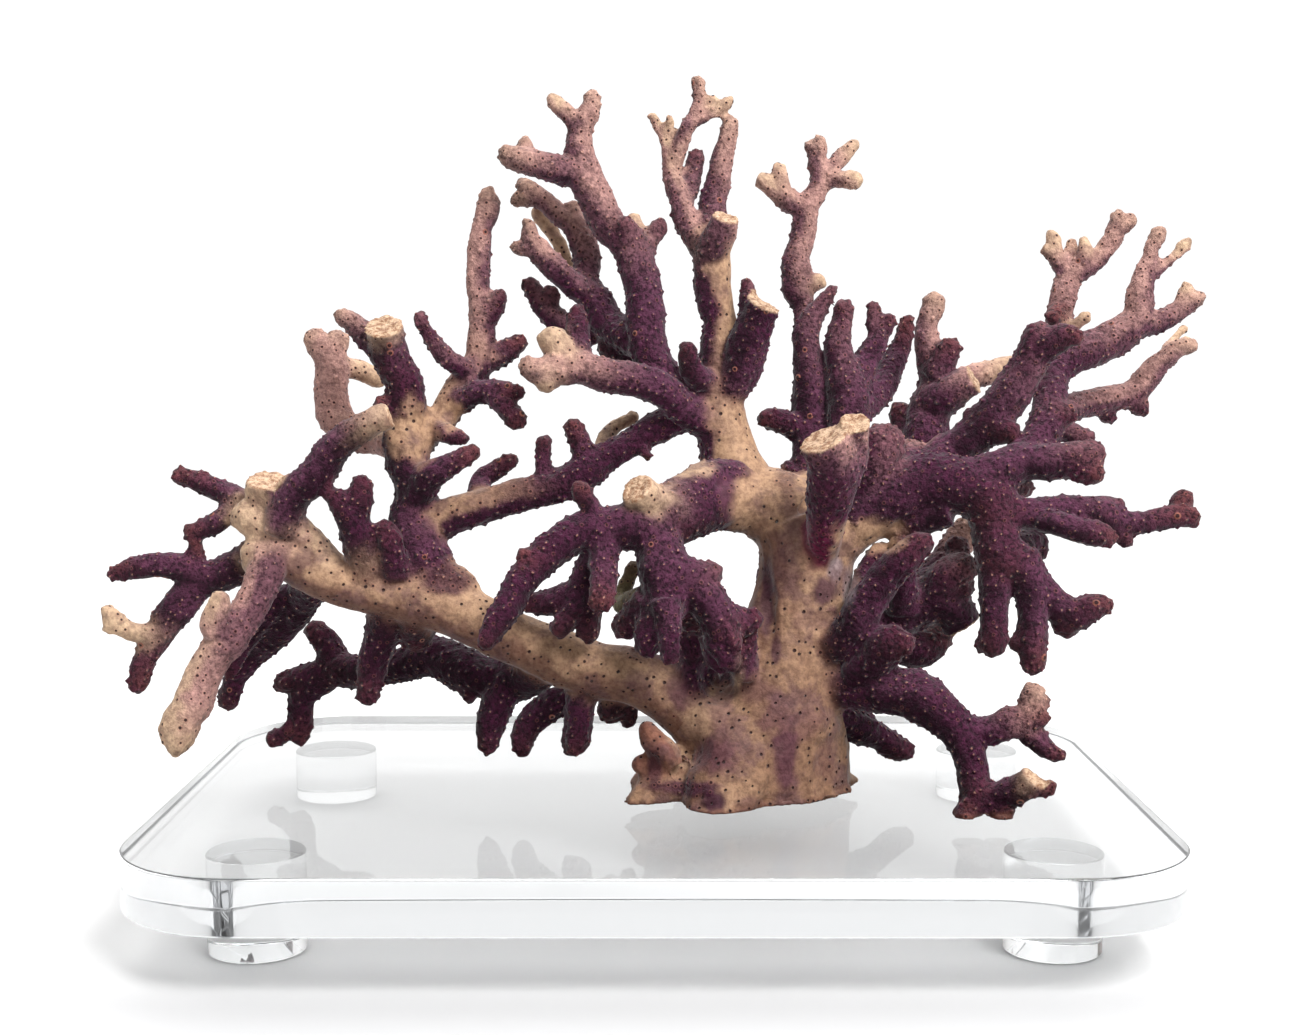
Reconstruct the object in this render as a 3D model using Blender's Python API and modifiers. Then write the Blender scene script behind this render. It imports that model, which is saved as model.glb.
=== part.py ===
"""A branching coral resting on a clear stand.

The stand is a rounded slab on four short feet. The coral is one natural growth, parted at its main
forks: each limb is a bundle of tapering round branches grown together, and it sits on the limb that
carries it like a pipe on a pipe, a hair's breadth clear of it.
"""
import math

import bmesh
import bpy
import numpy as np
from mathutils import Matrix, Vector

MM = 0.001

SLAB_WIDTH = 236.0
SLAB_DEPTH = 170.0
SLAB_THICKNESS = 12.7
SLAB_CORNER = 30.0
CORNER_FACETS = 10
SLAB_EDGE_BEVEL = 0.5
FOOT_DIAMETER = 22.2
FOOT_HEIGHT = 12.7
FOOT_ACROSS = 89.5
FOOT_BACK = 51.5
FOOT_SIDES = 32
FOOT_BEVEL = 0.4
GAP = 0.3
SLAB_TOP = FOOT_HEIGHT + GAP + SLAB_THICKNESS
CORAL_CUT = SLAB_TOP + GAP

# The branches are laid out on an upright drawing plane, as seen from one viewpoint in front of it.
VIEWPOINT = (1.35, -458.0, 135.0)
VIEW_PITCH = 0.0922
DRAWING_DISTANCE = 462.5
DRAWING_ORIGIN = (0.12, -0.5)

TUBE_FACETS = 3
PATH_STEPS = 3
# A round end's rings, as angles up a half ball, which starts a share of its radius before the last point.
END_ANGLES = (30.0, 55.0, 75.0)
END_SETBACK = 0.3
VOXEL = 1.2
SOFTEN = 0.5
TRIANGLES_PER_MM = 1.33
MIN_TRIANGLES = 90
MERGE = 0.04
NEAR = 1.0
# Width, depth and height of the block that is cut away under the coral.
GROUND = (400.0, 300.0, 40.0)
BEVEL_ANGLE = 50.0
SHARP_ANGLE = 40.0


def tip(*points):
    """A branch with a round end. A point is across, up, back and radius, in mm."""
    return points, True


def stump(*points):
    """A branch that ends in a flat cut."""
    return points, False


LIMBS = {
    "trunk": [
        stump((25, -86, 3, 23), (25, -70, 2, 22.5), (26, -58, 0, 21.5), (28.5, -46, -3, 19),
              (31, -36, -5, 15), (33.5, -26, -6, 12.8), (36, -16, -7, 12), (36, -6, -7, 12.4),
              (33, 1, -7, 11.5)),
        tip((36, -8, -7, 11), (44, -2, -9, 10)),
        tip((33, 0, -6, 11), (25, 5, -5, 10)),
        tip((34, 0, -5, 8), (35.6, 7, -4, 3.6), (36.6, 11, -4, 1.8)),
        tip((20, -56, -6, 15), (12, -49, -8, 12)),
        tip((12, -66, -8, 13), (3, -66, -8, 8.5), (-3, -66.5, -9, 5.5), (-5.5, -68, -10, 3.2)),
        stump((21, -54, -9, 13), (17, -64, -15, 11.5), (13.5, -78, -22, 8)),
        stump((1, -66, -12, 7), (-3.5, -69, -15, 4.6), (-7.5, -73, -18, 2.2)),
        tip((38, -64, 3, 9), (45, -65.5, 4, 4.5), (47.5, -65.5, 5, 2)),
        tip((1, -62, -12, 6), (-5.5, -61, -13, 3)),
        tip((2, -60, -14, 4), (-2, -55, -15, 3.5), (-4, -51.5, -14, 2.4)),
        tip((2, -60, -15, 4), (0.5, -57, -18, 2.6)),
        tip((21, -40, -17, 3.4), (20.5, -33, -18, 3.2), (22, -28, -19, 2.8)),
    ],
    "left_limb": [
        tip((14, -50, -8, 12), (8, -46.5, -8, 10), (1, -43, -9, 8), (-5, -40, -10, 7.4),
            (-10, -38.6, -10, 7.2), (-16.7, -37.5, -10, 7), (-25.6, -34.4, -10, 7),
            (-34.6, -30.4, -10, 6.6), (-43.6, -26.2, -10, 7.2), (-53.5, -21.5, -10, 7.3),
            (-60, -19.5, -10, 7), (-66, -18.7, -10, 6.4), (-75, -16.9, -11, 5.7),
            (-84.4, -13.8, -12, 6.1), (-91.2, -9.7, -12, 6), (-97, -4.5, -13, 5.6)),
        tip((-97, -4, -13, 5), (-100.5, -1, -13, 5), (-103.8, 1.2, -13, 5)),
        tip((-96, -8, -14, 5), (-101.9, -8.8, -15, 4.5), (-103.3, -12, -16, 2.5)),
        stump((-96, -5, -13, 5.5), (-98, 3, -12, 5.2), (-98.2, 10.2, -15, 5.6)),
        tip((-101, 1, -9, 3.6), (-106, 5.5, -8, 3.5), (-112, 8, -7, 3.2), (-117, 10, -7, 2.9),
            (-121, 11, -7, 2.5)),
        tip((-112, 8, -7, 2.6), (-115.5, 11.5, -7, 2)),
        tip((-101, 0, -9, 3.2), (-106, 3.5, -8, 3.2), (-109.6, 1, -9, 3), (-113, -1.5, -9, 2.8),
            (-118, -3.3, -9, 2.4)),
        stump((-95, -3, -15, 5.4), (-92.5, 5.8, -17, 5), (-87.5, 10, -19, 4.8), (-84.2, 14.2, -20, 4.6),
              (-81.7, 17.9, -21, 4.2), (-77.5, 21.3, -22, 3.8), (-72.1, 24.6, -23, 3.5),
              (-67.6, 26.2, -23, 3)),
        tip((-73.5, -13, -13, 4.5), (-76, -4, -17, 4.4), (-77.5, 0, -18, 4.4), (-79.5, 3.5, -19, 3.8),
            (-82.3, 6.3, -20, 2.8)),
        tip((-76.7, 0, -18, 4), (-75.4, 5.8, -18, 3.6), (-74.8, 9.6, -18, 3)),
        tip((-66, -14, -13, 4), (-68, -6, -16, 4), (-69.6, -2.2, -17, 3.7)),
        tip((-68, -19, -9, 5), (-69, -26, -6, 4.5), (-71.5, -34, -4, 4), (-73, -41, -3, 3.3),
            (-73.3, -44.5, -3, 2.9)),
        tip((-19, -38, -6, 4), (-22, -44.3, -4, 3.2), (-26.5, -46.1, -3, 3.6), (-31.9, -49.7, -2, 3.3),
            (-34.6, -54.2, -2, 2.7), (-34.8, -57, -2, 2.1)),
        tip((-17, -38, -9, 5), (-19.8, -44, -9, 4), (-20.3, -49.7, -10, 3), (-21.2, -54.6, -10, 2.8),
            (-21.6, -57.5, -10, 2.1)),
        tip((-8, -40, -6, 4), (-13, -48.2, -3, 3.4)),
        tip((-7, -41, -5, 3), (-8.3, -50.5, -2, 2.1)),
        tip((-58, -20, -9, 7), (-52.5, -16.4, -9, 5.8), (-48, -20.5, -9, 5)),
        tip((-84, -12, -12, 5.6), (-87.5, -5.5, -13, 3.6), (-91, -3, -14, 4.4)),
        tip((-74, -14, -12, 5), (-74.5, -8, -15, 4.4)),
        tip((-61, -22, -8, 6), (-61.5, -29.5, -3, 4.4)),
        tip((8, -41, -11, 6), (9, -34.5, -12, 5.6), (7, -29, -15, 4.4)),
    ],
    "far_left_pale_branch": [
        tip((-95, -5.5, -13, 5), (-99, -12.5, -18, 4.8), (-102.8, -21.4, -22, 4.3),
            (-106.9, -28.1, -25, 4.2), (-112.7, -34.9, -27, 4.2), (-116.3, -42.9, -29, 4),
            (-118.1, -47, -30, 4.2), (-121.7, -50.6, -31, 3.4), (-123.5, -53.7, -31, 2.8)),
        tip((-119, -49, -31, 3.4), (-121.4, -56.9, -32, 2.7)),
        tip((-108.5, -30, -26, 3.6), (-111.4, -25.9, -28, 3.6), (-110.2, -19.5, -29, 2.4)),
    ],
    "far_left_branch": [
        tip((-97, -6, -12, 4.6), (-104, -10.5, -7, 4.4), (-110.9, -13.8, -6, 4.4),
            (-116.3, -16, -6, 4.5), (-119.9, -20.5, -6, 4.5), (-123.9, -25.4, -6, 4),
            (-127, -30.4, -6, 3.6), (-129.3, -35.3, -6, 3.2), (-131.1, -41.5, -6, 2.8)),
        tip((-125, -27, -6, 2.8), (-128.4, -28.4, -8, 2.7), (-132.9, -27.7, -9, 2.7),
            (-136, -25.9, -10, 2.9), (-138.6, -22.6, -10, 2.5)),
        tip((-135, -26.2, -10, 2.6), (-138.8, -27, -11, 2.2)),
        tip((-114, -14.5, -7, 3.8), (-117.2, -12.8, -8, 3.8), (-121.2, -11.5, -9, 3.8),
            (-126.2, -11.3, -10, 3.4), (-131.5, -12, -10, 3.2), (-137.2, -13.5, -10, 2.4)),
        tip((-116.5, -12, -8, 2.6), (-116.5, -5.5, -9, 2)),
    ],
    "left_back_branch": [
        tip((-86, -13, -10, 4.8), (-89.5, -19, 1, 4.8), (-96.5, -27.2, 7, 4.8), (-101.9, -33, 10, 4),
            (-106, -38.9, 12, 3.2), (-108.2, -45.6, 13, 2.8)),
        tip((-89.5, -18, 1, 3.6), (-97, -21.5, 0, 3.2), (-103.5, -29.5, 2, 2.7), (-108.3, -38.5, 2, 2.1)),
    ],
    "lower_left_branch": [
        tip((-28, -34, -9, 5), (-35, -39.5, 1, 5), (-43.6, -39.2, 4, 5), (-49.9, -37.1, 6, 5.8),
            (-57, -33.8, 9, 4.9), (-66, -36.7, 12, 4.5), (-74, -38, 15, 4.2), (-82.2, -37.1, 18, 4)),
        tip((-49, -38, 5, 4), (-48, -44.5, 4, 1.9)),
        tip((-82, -37, 18, 4), (-83.5, -31.7, 18, 3.2), (-87.1, -27.2, 18, 2.8)),
        tip((-83, -38, 18, 3.8), (-91.2, -39.8, 18, 3.2), (-95.2, -40.7, 18, 2.6)),
        tip((-83, -38, 18, 3.8), (-89.4, -43.8, 19, 3.3), (-90.3, -49.7, 20, 3.2),
            (-90.7, -54.2, 20, 2.4)),
        tip((-90, -48, 20, 2.6), (-93, -52.5, 20, 2.3), (-97.4, -55, 21, 2.1)),
        tip((-36, -38, 1, 4.6), (-39.1, -41.5, 1, 4.2), (-41.8, -47.4, 0, 3.6), (-43.1, -52.8, 0, 3.2),
            (-43.4, -57, 0, 2.3)),
    ],
    "left_stem": [
        tip((-56, -20, -10, 6), (-58.2, -12.5, -8, 7), (-60.8, -6, -7, 6.8), (-62.6, -0.4, -6, 5.9),
            (-61.6, 5.8, -6, 5.5), (-62.1, 10, -6, 5.8), (-63.8, 14.2, -6, 5.8), (-64.2, 20.4, -6, 6),
            (-63.8, 24.6, -6, 5.4), (-63.3, 30, -7, 5.2), (-64.6, 35, -8, 5.3), (-67, 39, -9, 5.2)),
        stump((-66, 38, -9, 5), (-68.5, 43, -11, 5), (-69.6, 48.6, -15, 5.2)),
        tip((-69, 42, -9, 4.2), (-73.3, 45.4, -8, 3.9), (-76.7, 48.8, -8, 3.2), (-80.4, 51.3, -8, 2.3)),
        tip((-66, 28, -7, 3), (-70.6, 29.4, -10, 2.5)),
        tip((-61, 7, -8, 4.6), (-58.3, 10.8, -11, 4.2), (-53.3, 13.3, -13, 3.2),
            (-49.2, 15.8, -14, 2.4), (-46.7, 17.1, -14, 1.9)),
    ],
    "left_stem_fork": [
        tip((-63, 17, -6, 4.4), (-58.3, 22.5, -3, 4.4), (-55, 25.4, -2, 4.4), (-51.7, 30.8, -1, 4.3),
            (-48.3, 35.8, 0, 4.3), (-45.8, 40, 0, 4), (-45.4, 44.2, 0, 3.6), (-45, 49.6, 0, 3.7),
            (-45, 54.6, 0, 3.4), (-45.8, 58, 0, 2.9), (-45.8, 63, 0, 2.8), (-45.3, 68, 0, 2.8),
            (-44.8, 73, 0, 2.4), (-43.5, 77.8, 0, 2.8), (-43.2, 82, 0, 1.9)),
        tip((-45, 49, 0, 3), (-42, 52.5, -1, 2.7), (-40.5, 56.4, -2, 2.1)),
        tip((-47.5, 36, -2, 3.4), (-49.6, 37.9, -4, 3.2), (-53.3, 40, -6, 2.9), (-57.1, 44.2, -7, 2.5),
            (-59.6, 48.3, -8, 2.2), (-60.8, 51, -8, 2)),
        tip((-45.5, 38.5, 0, 3.4), (-39.6, 41.7, 1, 2.8), (-35.6, 44.2, 1, 2.5)),
        tip((-51, 29, -3, 3.6), (-47.1, 31.7, -5, 3.4), (-41.7, 32.5, -7, 2.9), (-35.6, 31.7, -8, 2.3)),
        tip((-42, 31, -7, 2.8), (-39.6, 28.6, -8, 2.9), (-36, 24.8, -9, 2.9)),
        tip((-56, 23, -5, 3.2), (-52.5, 21.3, -8, 2.9), (-49.2, 20.4, -9, 1.6)),
    ],
    "left_stem_side": [
        tip((-64, 17, -4, 4.6), (-70, 20, 5, 4), (-76, 20.5, 8, 3.9), (-79.5, 23.5, 9, 4),
            (-81.7, 27, 10, 4.1), (-82.5, 31, 10, 3.9), (-82.5, 35, 10, 3.9), (-82.9, 40.8, 10, 3.8),
            (-87.3, 45.8, 10, 2.2)),
        tip((-82.9, 40, 10, 3.2), (-80.8, 45.2, 10, 2.6)),
        tip((-81, 38.5, 12, 2.6), (-76, 37.5, 15, 2.4), (-70.4, 35.4, 16, 2.2)),
    ],
    "inner_left_branch": [
        tip((-61, -4, -6, 4.8), (-53.3, 0.8, -6, 4.9), (-48.3, 2.1, -7, 4.6), (-40.8, 4.6, -8, 4.5),
            (-36, 6.1, -8, 4.5), (-29.3, 7.4, -8, 4.5), (-23.5, 9.7, -8, 4.6), (-18.1, 12.4, -8, 4.8),
            (-13.6, 16, -7, 4.2), (-7.8, 19.1, -6, 3.8), (-2.4, 22.2, -6, 3.8), (3, 25, -6, 4),
            (11, 27.5, -5, 4)),
        tip((-18, 13, -8, 3.6), (-20.2, 19.1, -8, 3.3), (-22.3, 24, -9, 2.6)),
        tip((-29.5, 8, -8, 3), (-29.5, 13, -8, 2.4), (-29.5, 19.8, -8, 2)),
        tip((-6, 20, -7, 2.4), (-3.3, 15.8, -9, 1.5)),
        tip((-44, 4, -6, 3.2), (-45.4, 9.5, -1, 2.6), (-41.5, 12.5, 0, 2.5), (-37.4, 15.2, 0, 2.3)),
        tip((-17, 14, -6, 3), (-13, 22, 2, 2.2), (-6.5, 26, 4, 1.9)),
    ],
    "centre_stem": [
        tip((30, 2, -6, 8.6), (22, 6.5, -5, 8.6), (18.3, 12, -4, 7.8), (16.5, 18, -3, 7.2),
            (15, 25, -3, 6.8), (14.5, 30, -3, 6.2), (14.5, 36, -3, 5.2), (14.4, 45, -3, 4.1),
            (14.6, 50, -3, 4), (13.7, 53.3, -3, 4.5), (13, 58.5, -3, 4.9), (12.6, 64, -3, 5.2),
            (12.4, 68.7, -3, 5)),
        stump((12.5, 66, -4, 4.6), (15, 72, -8, 3.9), (16.2, 76, -10, 3.7)),
        tip((10.5, 68, -2, 4), (6.3, 74.9, -1, 3.3), (4.7, 80, 0, 3), (2.7, 86, 1, 2.6),
            (2.3, 90, 1, 2.4), (1.7, 93.3, 1, 2.2), (0.1, 96.9, 2, 2), (-2.4, 101, 3, 1.8)),
        tip((1.5, 95.5, 1, 1.7), (2, 100.5, 0, 1.5)),
        tip((3, 88.5, 1, 2.4), (5.8, 96.9, -1, 2.3), (8.6, 101, -1, 2.3), (9.4, 105.1, -1, 2),
            (9.1, 110, -1, 2.3)),
        tip((8.4, 100, -1, 2.2), (12.9, 102, -1, 2), (17.1, 104.8, -1, 1.8)),
        tip((12.4, 102, -1, 1.7), (13, 106.2, -1, 1.2)),
        tip((5, 79, 1, 2.7), (6.8, 84.1, 4, 2.6), (8.6, 91.3, 6, 2.5)),
        tip((12.6, 70, -2, 4), (12.9, 79, 1, 3.2), (14, 84.1, 1, 2.8), (15.5, 91.3, 0, 2.7),
            (16.8, 96.4, 0, 2.7), (17.3, 99.5, 0, 2.6)),
        tip((12, 34, -6, 3.2), (8.8, 36, -10, 2.9), (6.8, 40, -12, 2.3), (6.5, 43, -13, 1.9)),
        stump((16, 31, -4, 5), (19.8, 38, -6, 5.2), (23.2, 48.2, -9, 4.5), (25.8, 54, -11, 4.1)),
        tip((22, 50, -8, 3), (21.2, 59.5, -8, 2.1)),
    ],
    "upper_left_branch": [
        tip((13, 26, -4, 4.6), (6, 30, -5, 4.9), (0, 36, -6, 4.6), (-3, 42, -6, 4.6),
            (-4, 48, -6, 4.5), (-4, 53.3, -6, 4.6), (-5.3, 61, -5, 5), (-8.5, 69, -4, 4.9),
            (-13.2, 73.8, -4, 4.5), (-16.3, 80, -4, 4.5), (-18.8, 85.1, -4, 4.2),
            (-20.4, 90.3, -4, 3.6), (-20.6, 95.9, -4, 3.2), (-19.4, 99.5, -5, 3),
            (-17.3, 104.1, -5, 2.7), (-17.8, 106.4, -5, 2.3)),
        tip((-7, 68, -5, 4), (-9.1, 74.4, -8, 2.6)),
        tip((-6, 70, -2, 3), (-7, 75.4, 1, 2)),
        tip((-5, 64, -4, 3), (-2.9, 70.3, -2, 2.3), (0.1, 73.8, -1, 2)),
        tip((-20, 97, -5, 2.6), (-22.9, 101, -5, 2.2), (-26, 104.1, -6, 1.9), (-27.3, 105.6, -6, 1.6)),
        tip((-19, 87, -4, 3.9), (-24.5, 87.2, -6, 3.6), (-29.6, 88.2, -8, 3.3), (-34.7, 89.7, -9, 3.2),
            (-38.8, 90.8, -10, 2.7)),
        tip((-33, 90.5, -6, 2), (-34.2, 94, -4, 1.7)),
    ],
    "upper_left_fork": [
        tip((-4, 44, -5, 4), (-12.2, 48.2, 2, 4.2), (-16.3, 54.9, 4, 4.2), (-19.4, 59.5, 5, 3.8),
            (-18.5, 63.6, 6, 3.6), (-19.4, 68.7, 7, 3.5), (-21.9, 73.8, 7, 3), (-26, 76.6, 8, 2.3),
            (-30.1, 80.5, 8, 2.3), (-34.2, 83.6, 8, 2)),
        tip((-21.9, 73, 7, 2.5), (-22.4, 78.2, 7, 1.6)),
        tip((-31, 80.5, 8, 1.8), (-36.3, 80.3, 8, 1.7)),
        tip((-18, 56.5, 4, 3.6), (-21.4, 58.5, 2, 3.5), (-25.5, 62.1, 0, 3.2), (-30.1, 66.7, -1, 2.9),
            (-32.7, 70.3, -2, 2.4), (-33.5, 74.4, -2, 1.9)),
        tip((-31, 68, -1, 2.2), (-36.8, 68.2, -1, 1.8)),
        tip((-14, 48.5, 4, 3), (-19, 46.5, 7, 2.7), (-25, 49.2, 8, 2.8), (-29.1, 52.8, 8, 2.6),
            (-33.2, 59, 8, 2)),
        tip((-28.5, 53, 8, 2.2), (-27.3, 57.2, 7, 2)),
        tip((-19, 57, 6, 2.4), (-23, 60, 12, 1.8), (-25, 68, 13, 1.8), (-31, 77, 13, 1.6)),
        tip((-6, 44, -1, 3), (-9, 41, 1, 2.8), (-14, 43.5, 3, 2.6)),
    ],
    "middle_left_branch": [
        tip((12, 24, -5, 4.4), (5, 28, -9, 4.4), (-0.1, 32.5, -12, 4.3), (-6.9, 34.8, -13, 4.3),
            (-13.6, 35.7, -13, 4.3), (-19.9, 37.6, -14, 4.2), (-25, 37.4, -15, 4.2),
            (-30.2, 37, -16, 3.9), (-34.2, 38.9, -17, 2.6)),
        tip((-27, 36, -16, 3.2), (-29.4, 34.4, -17, 2.9)),
        tip((-23, 39, -14, 3.6), (-28, 45.4, -14, 3.4)),
        tip((-20.5, 39, -13, 3.3), (-21.2, 43.8, -11, 2.8), (-20.8, 48.3, -10, 2.6), (-21.2, 53, -9, 1.9)),
    ],
    "front_arm": [
        tip((22, 8, -6, 6), (13.3, 9.6, -13, 5.6), (8, 8.2, -17, 5.4), (3, 4, -21, 6),
            (-1, 0, -23, 6.6), (-7, -1.5, -25, 6.2), (-12, -2, -26, 5.5), (-16.7, -2, -27, 5),
            (-22.1, -4, -28, 4.6), (-27.9, -7.9, -30, 4.5), (-32.4, -12.4, -32, 4),
            (-36, -16.9, -34, 3.7), (-38.2, -21.4, -36, 3.6), (-41.8, -26.3, -38, 3.3),
            (-44, -31.3, -39, 2.5)),
        tip((23, 4, -7, 7.6), (14, 4.8, -13, 7), (7, 2, -18, 6.6), (1, -2, -22, 6)),
        stump((2, 3, -22, 5), (-3, 4.8, -26, 4.8), (-6.4, 8, -30, 4.3)),
        tip((-31, -10, -32, 2.8), (-34.6, -8.6, -33, 2)),
        tip((-15, -2, -27, 3.2), (-17.1, 2.4, -28, 2.6), (-20.3, 7.8, -29, 2)),
        tip((-13.5, -3, -27, 4.6), (-14.5, -10, -29, 3.8), (-14.5, -15, -31, 3.6), (-15.2, -21, -33, 3.4)),
        tip((-15, -6, -26, 3.8), (-20, -16, -23, 3.3), (-22, -22, -23, 2.8), (-25.6, -27.7, -23, 2.4)),
        tip((-18, -12, -24, 3), (-17.5, -20, -22, 2.8), (-18.9, -28.6, -21, 2.5)),
        tip((-20, -17.5, -22, 3.4), (-28, -20.6, -20, 3.4), (-34, -20.6, -19, 2.9)),
    ],
    "front_hand": [
        tip((-1, -1, -23, 5.6), (0, -10, -26, 6.4), (1.5, -17, -27, 6.4), (0, -23, -28, 5.6),
            (-3, -28, -29, 4.4), (-3.5, -32.5, -29, 3.2)),
        tip((1, -21, -31, 4.4), (2, -29, -34, 3.4), (2.4, -34.5, -35, 2.8)),
        tip((-3, -20, -27, 4), (-9, -27, -22, 3.4)),
        tip((2, -13, -27, 6), (9, -14.5, -26, 5), (13, -13, -25, 3.3)),
        tip((7, -15, -26, 5.4), (12, -21, -26, 5), (15.5, -27.5, -25, 4.4), (16.5, -31, -24, 3.6)),
        tip((14.5, -29, -24, 4.2), (15.5, -35.5, -24, 3.7)),
        tip((15, -24, -24, 3.8), (20, -25.5, -22, 3.4), (23.4, -24.5, -21, 2.6)),
        tip((3, -18, -24, 4.6), (8, -24.5, -20, 4)),
        tip((-5, -19, -24, 2.6), (-10, -21, -16, 2.2), (-8.4, -15, -13, 1.8), (-6.6, -11.5, -13, 1.7)),
    ],
    "front_stump": [
        tip((40, -9, -15, 4.5), (41, -3, -21, 5.2), (41.5, 3.5, -25, 5.8), (43, 10, -29, 6.4)),
        stump((42.5, 8, -28, 6.2), (43, 14, -31, 6.8), (40.4, 20.5, -34, 6.4)),
        stump((44, 10, -29, 6), (46.5, 15.5, -29, 5.4), (48, 20.5, -30, 4.3),
              (48.5, 24.6, -33.5, 4)),
    ],
    "right_limb": [
        tip((39, -6, -7, 8.6), (46, -1.5, -9, 8.6), (54, 4, -11, 7.8), (65, 9, -13, 7.2),
            (74, 8.5, -15, 7.2), (81, 6, -16, 7.6), (83.5, 1.5, -17, 7.4)),
        tip((78, 9, -15, 6.5), (85, 12, -16, 5.6), (90, 14.3, -16, 5), (95, 14.5, -17, 4.6),
            (100, 15, -17, 4.5), (105, 15.5, -18, 4.5), (108.4, 17, -18, 3.4)),
        tip((104, 14, -18, 4), (108, 11.6, -19, 3.2)),
        tip((51, 7, -12, 5.5), (54, 16, -14, 6.2), (55.5, 20.8, -13, 5.6)),
        tip((86, 8, -12, 3), (91.5, 8, -6, 2.2)),
        tip((72, 3, -15, 5.2), (65, 0.5, -13, 4.2), (58.5, -3.5, -11, 3.4)),
    ],
    "right_lower_branch": [
        tip((82, 3, -17, 5.6), (90, 2, -18, 4.4), (97, 2, -18, 3.9), (103, 1.8, -18, 3.9),
            (110, 1.3, -18, 3.7), (115, -0.7, -17, 3.2), (120, -0.8, -17, 2.9), (127, 0.3, -17, 2.8),
            (131, 0.9, -17, 2.6), (133.2, 0.4, -17, 2.2)),
        tip((129, 1, -16, 2.4), (130.5, 5.3, -14, 2.4)),
        tip((95, 0.5, -20, 3.2), (99, -1, -23, 3), (104, -2.5, -24, 3.2), (109, -3.8, -24, 3.4),
            (112, -5, -24, 2.6)),
        tip((107, 3, -18, 2.6), (114.5, 3.6, -17, 1.5)),
        tip((113, -2, -17, 3), (116.5, -5.5, -17, 2.1)),
    ],
    "right_hanging_branch": [
        tip((83, 2, -17, 6), (84, -6, -18, 6.2), (86, -11, -18, 7)),
        tip((84.5, -10, -18, 5.6), (83.3, -17, -19, 4.4), (82.8, -21.5, -19, 3.9), (83, -27, -20, 3.4),
            (82.7, -32, -20, 3.2)),
        tip((81, -28, -19, 2.2), (79.4, -31.8, -18, 1.7)),
        tip((89, -10, -18, 6), (92.4, -17, -20, 4.6), (92.7, -24, -21, 3.6), (92.8, -30, -22, 3.5),
            (93, -36.5, -22, 3.1)),
        tip((91, -29.5, -21, 2.5), (88.5, -31, -21, 1.9)),
        tip((92.5, -15, -19, 4.6), (98.5, -21, -19, 4.1), (103, -23.5, -19, 4), (107, -21.7, -20, 3.5),
            (111, -21, -20, 2.8)),
        tip((101, -23, -18, 3.8), (101.5, -26.4, -18, 3.6)),
        tip((88, -8, -14, 4), (92.5, -5, -8, 3.4), (94.5, -8, -6, 2.6)),
    ],
    "upper_right_branch": [
        tip((65, 10, -11, 4.8), (71, 16, -6, 4.8), (77, 20, -7, 4.8), (82, 25, -8, 5.3),
            (86, 30, -9, 5.2), (89.5, 35.5, -10, 5), (92.5, 40, -11, 4.7), (94, 44, -12, 4.3),
            (94.3, 47.4, -12, 3.6)),
        tip((94, 42, -12, 4.2), (98, 44.5, -14, 3.8), (101.5, 46, -16, 3.1), (104, 45.8, -17, 2.4)),
        tip((80, 24, -7, 4), (76.8, 26, -7, 2)),
        tip((83, 23, -9, 4.4), (87.5, 22, -13, 2.6)),
    ],
    "far_right_branch": [
        tip((88, 12.5, -15, 4.6), (94.2, 19.5, -11, 4.8), (97, 26, -9, 4.7), (97.5, 31, -7, 4.3),
            (98.5, 36.5, -4, 4.2), (102, 40.4, -2, 4.6), (106, 42.3, -1, 4.9), (110.5, 44, 0, 4.6),
            (115, 47, 1, 4.2), (119, 50.3, 1, 3.9), (119.4, 54, 1, 3.5), (119.8, 57.5, 1, 3.2),
            (120.8, 61.5, 1, 2.8), (122, 65, 1, 2.2), (122.8, 68.5, 1, 2.1), (124.7, 72, 1, 2)),
        tip((121.3, 60.8, 1, 2.4), (125, 63.3, 2, 1.9), (128.5, 66, 3, 1.8), (131.2, 69, 3, 1.8)),
        tip((119, 49, 1, 3.6), (124, 49.8, 2, 2.8), (128.5, 52, 3, 2.7), (132, 54.5, 3, 2.6),
            (135, 56, 3, 1.9)),
        tip((130, 54.5, 3, 2.3), (131.5, 58.6, 3, 1.9)),
        tip((97, 27, -9, 4.4), (101.8, 26.6, -11, 3.2)),
    ],
    "far_right_back_branch": [
        tip((97.8, 33, -6, 3.4), (97.8, 40, 6, 3.4), (98.8, 46, 11, 3.5), (99.6, 50, 13, 3.5),
            (100.5, 55, 14, 3.3), (101.8, 60, 15, 3), (103.5, 62, 15, 2.9), (106.5, 63.5, 15, 2.7),
            (110, 66.5, 15, 2.4), (113, 71, 15, 2.5), (114.2, 76, 15, 2)),
        tip((102, 61.5, 15, 2.7), (99, 65.5, 15, 2.2), (98.2, 69, 15, 1.9), (97.7, 71.5, 15, 1.8)),
        tip((99, 65.8, 15, 2), (96.2, 67.5, 15, 1.6)),
        tip((102.5, 62.5, 16, 2), (102.3, 69.4, 17, 1.5)),
        tip((104.5, 63, 15, 2), (106, 67, 13, 1.9), (105.5, 70, 13, 1.6)),
        tip((113.5, 72.5, 15, 2.4), (117.3, 75, 15, 1.9)),
        tip((99, 51, 12, 3), (98, 50.5, 8, 2.2)),
        tip((100.5, 47, 11, 2.4), (103, 48.5, 9, 1.8), (106.3, 51, 8, 1.5)),
    ],
    "right_pale_branch": [
        tip((93, 17, -11, 4), (98.5, 25, 2, 3.9), (103, 28.3, 9, 3.6), (108, 29.5, 12, 3.5),
            (113, 30.5, 13, 3.3), (117.5, 31.5, 14, 3.4), (120.5, 34.5, 14, 3.2), (123.5, 38, 14, 3.2),
            (127, 41.3, 14, 3), (130, 43.2, 14, 2.6), (133, 43.3, 14, 2)),
        tip((129.5, 42.5, 14, 2.2), (131.3, 45, 14, 1.7)),
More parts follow.
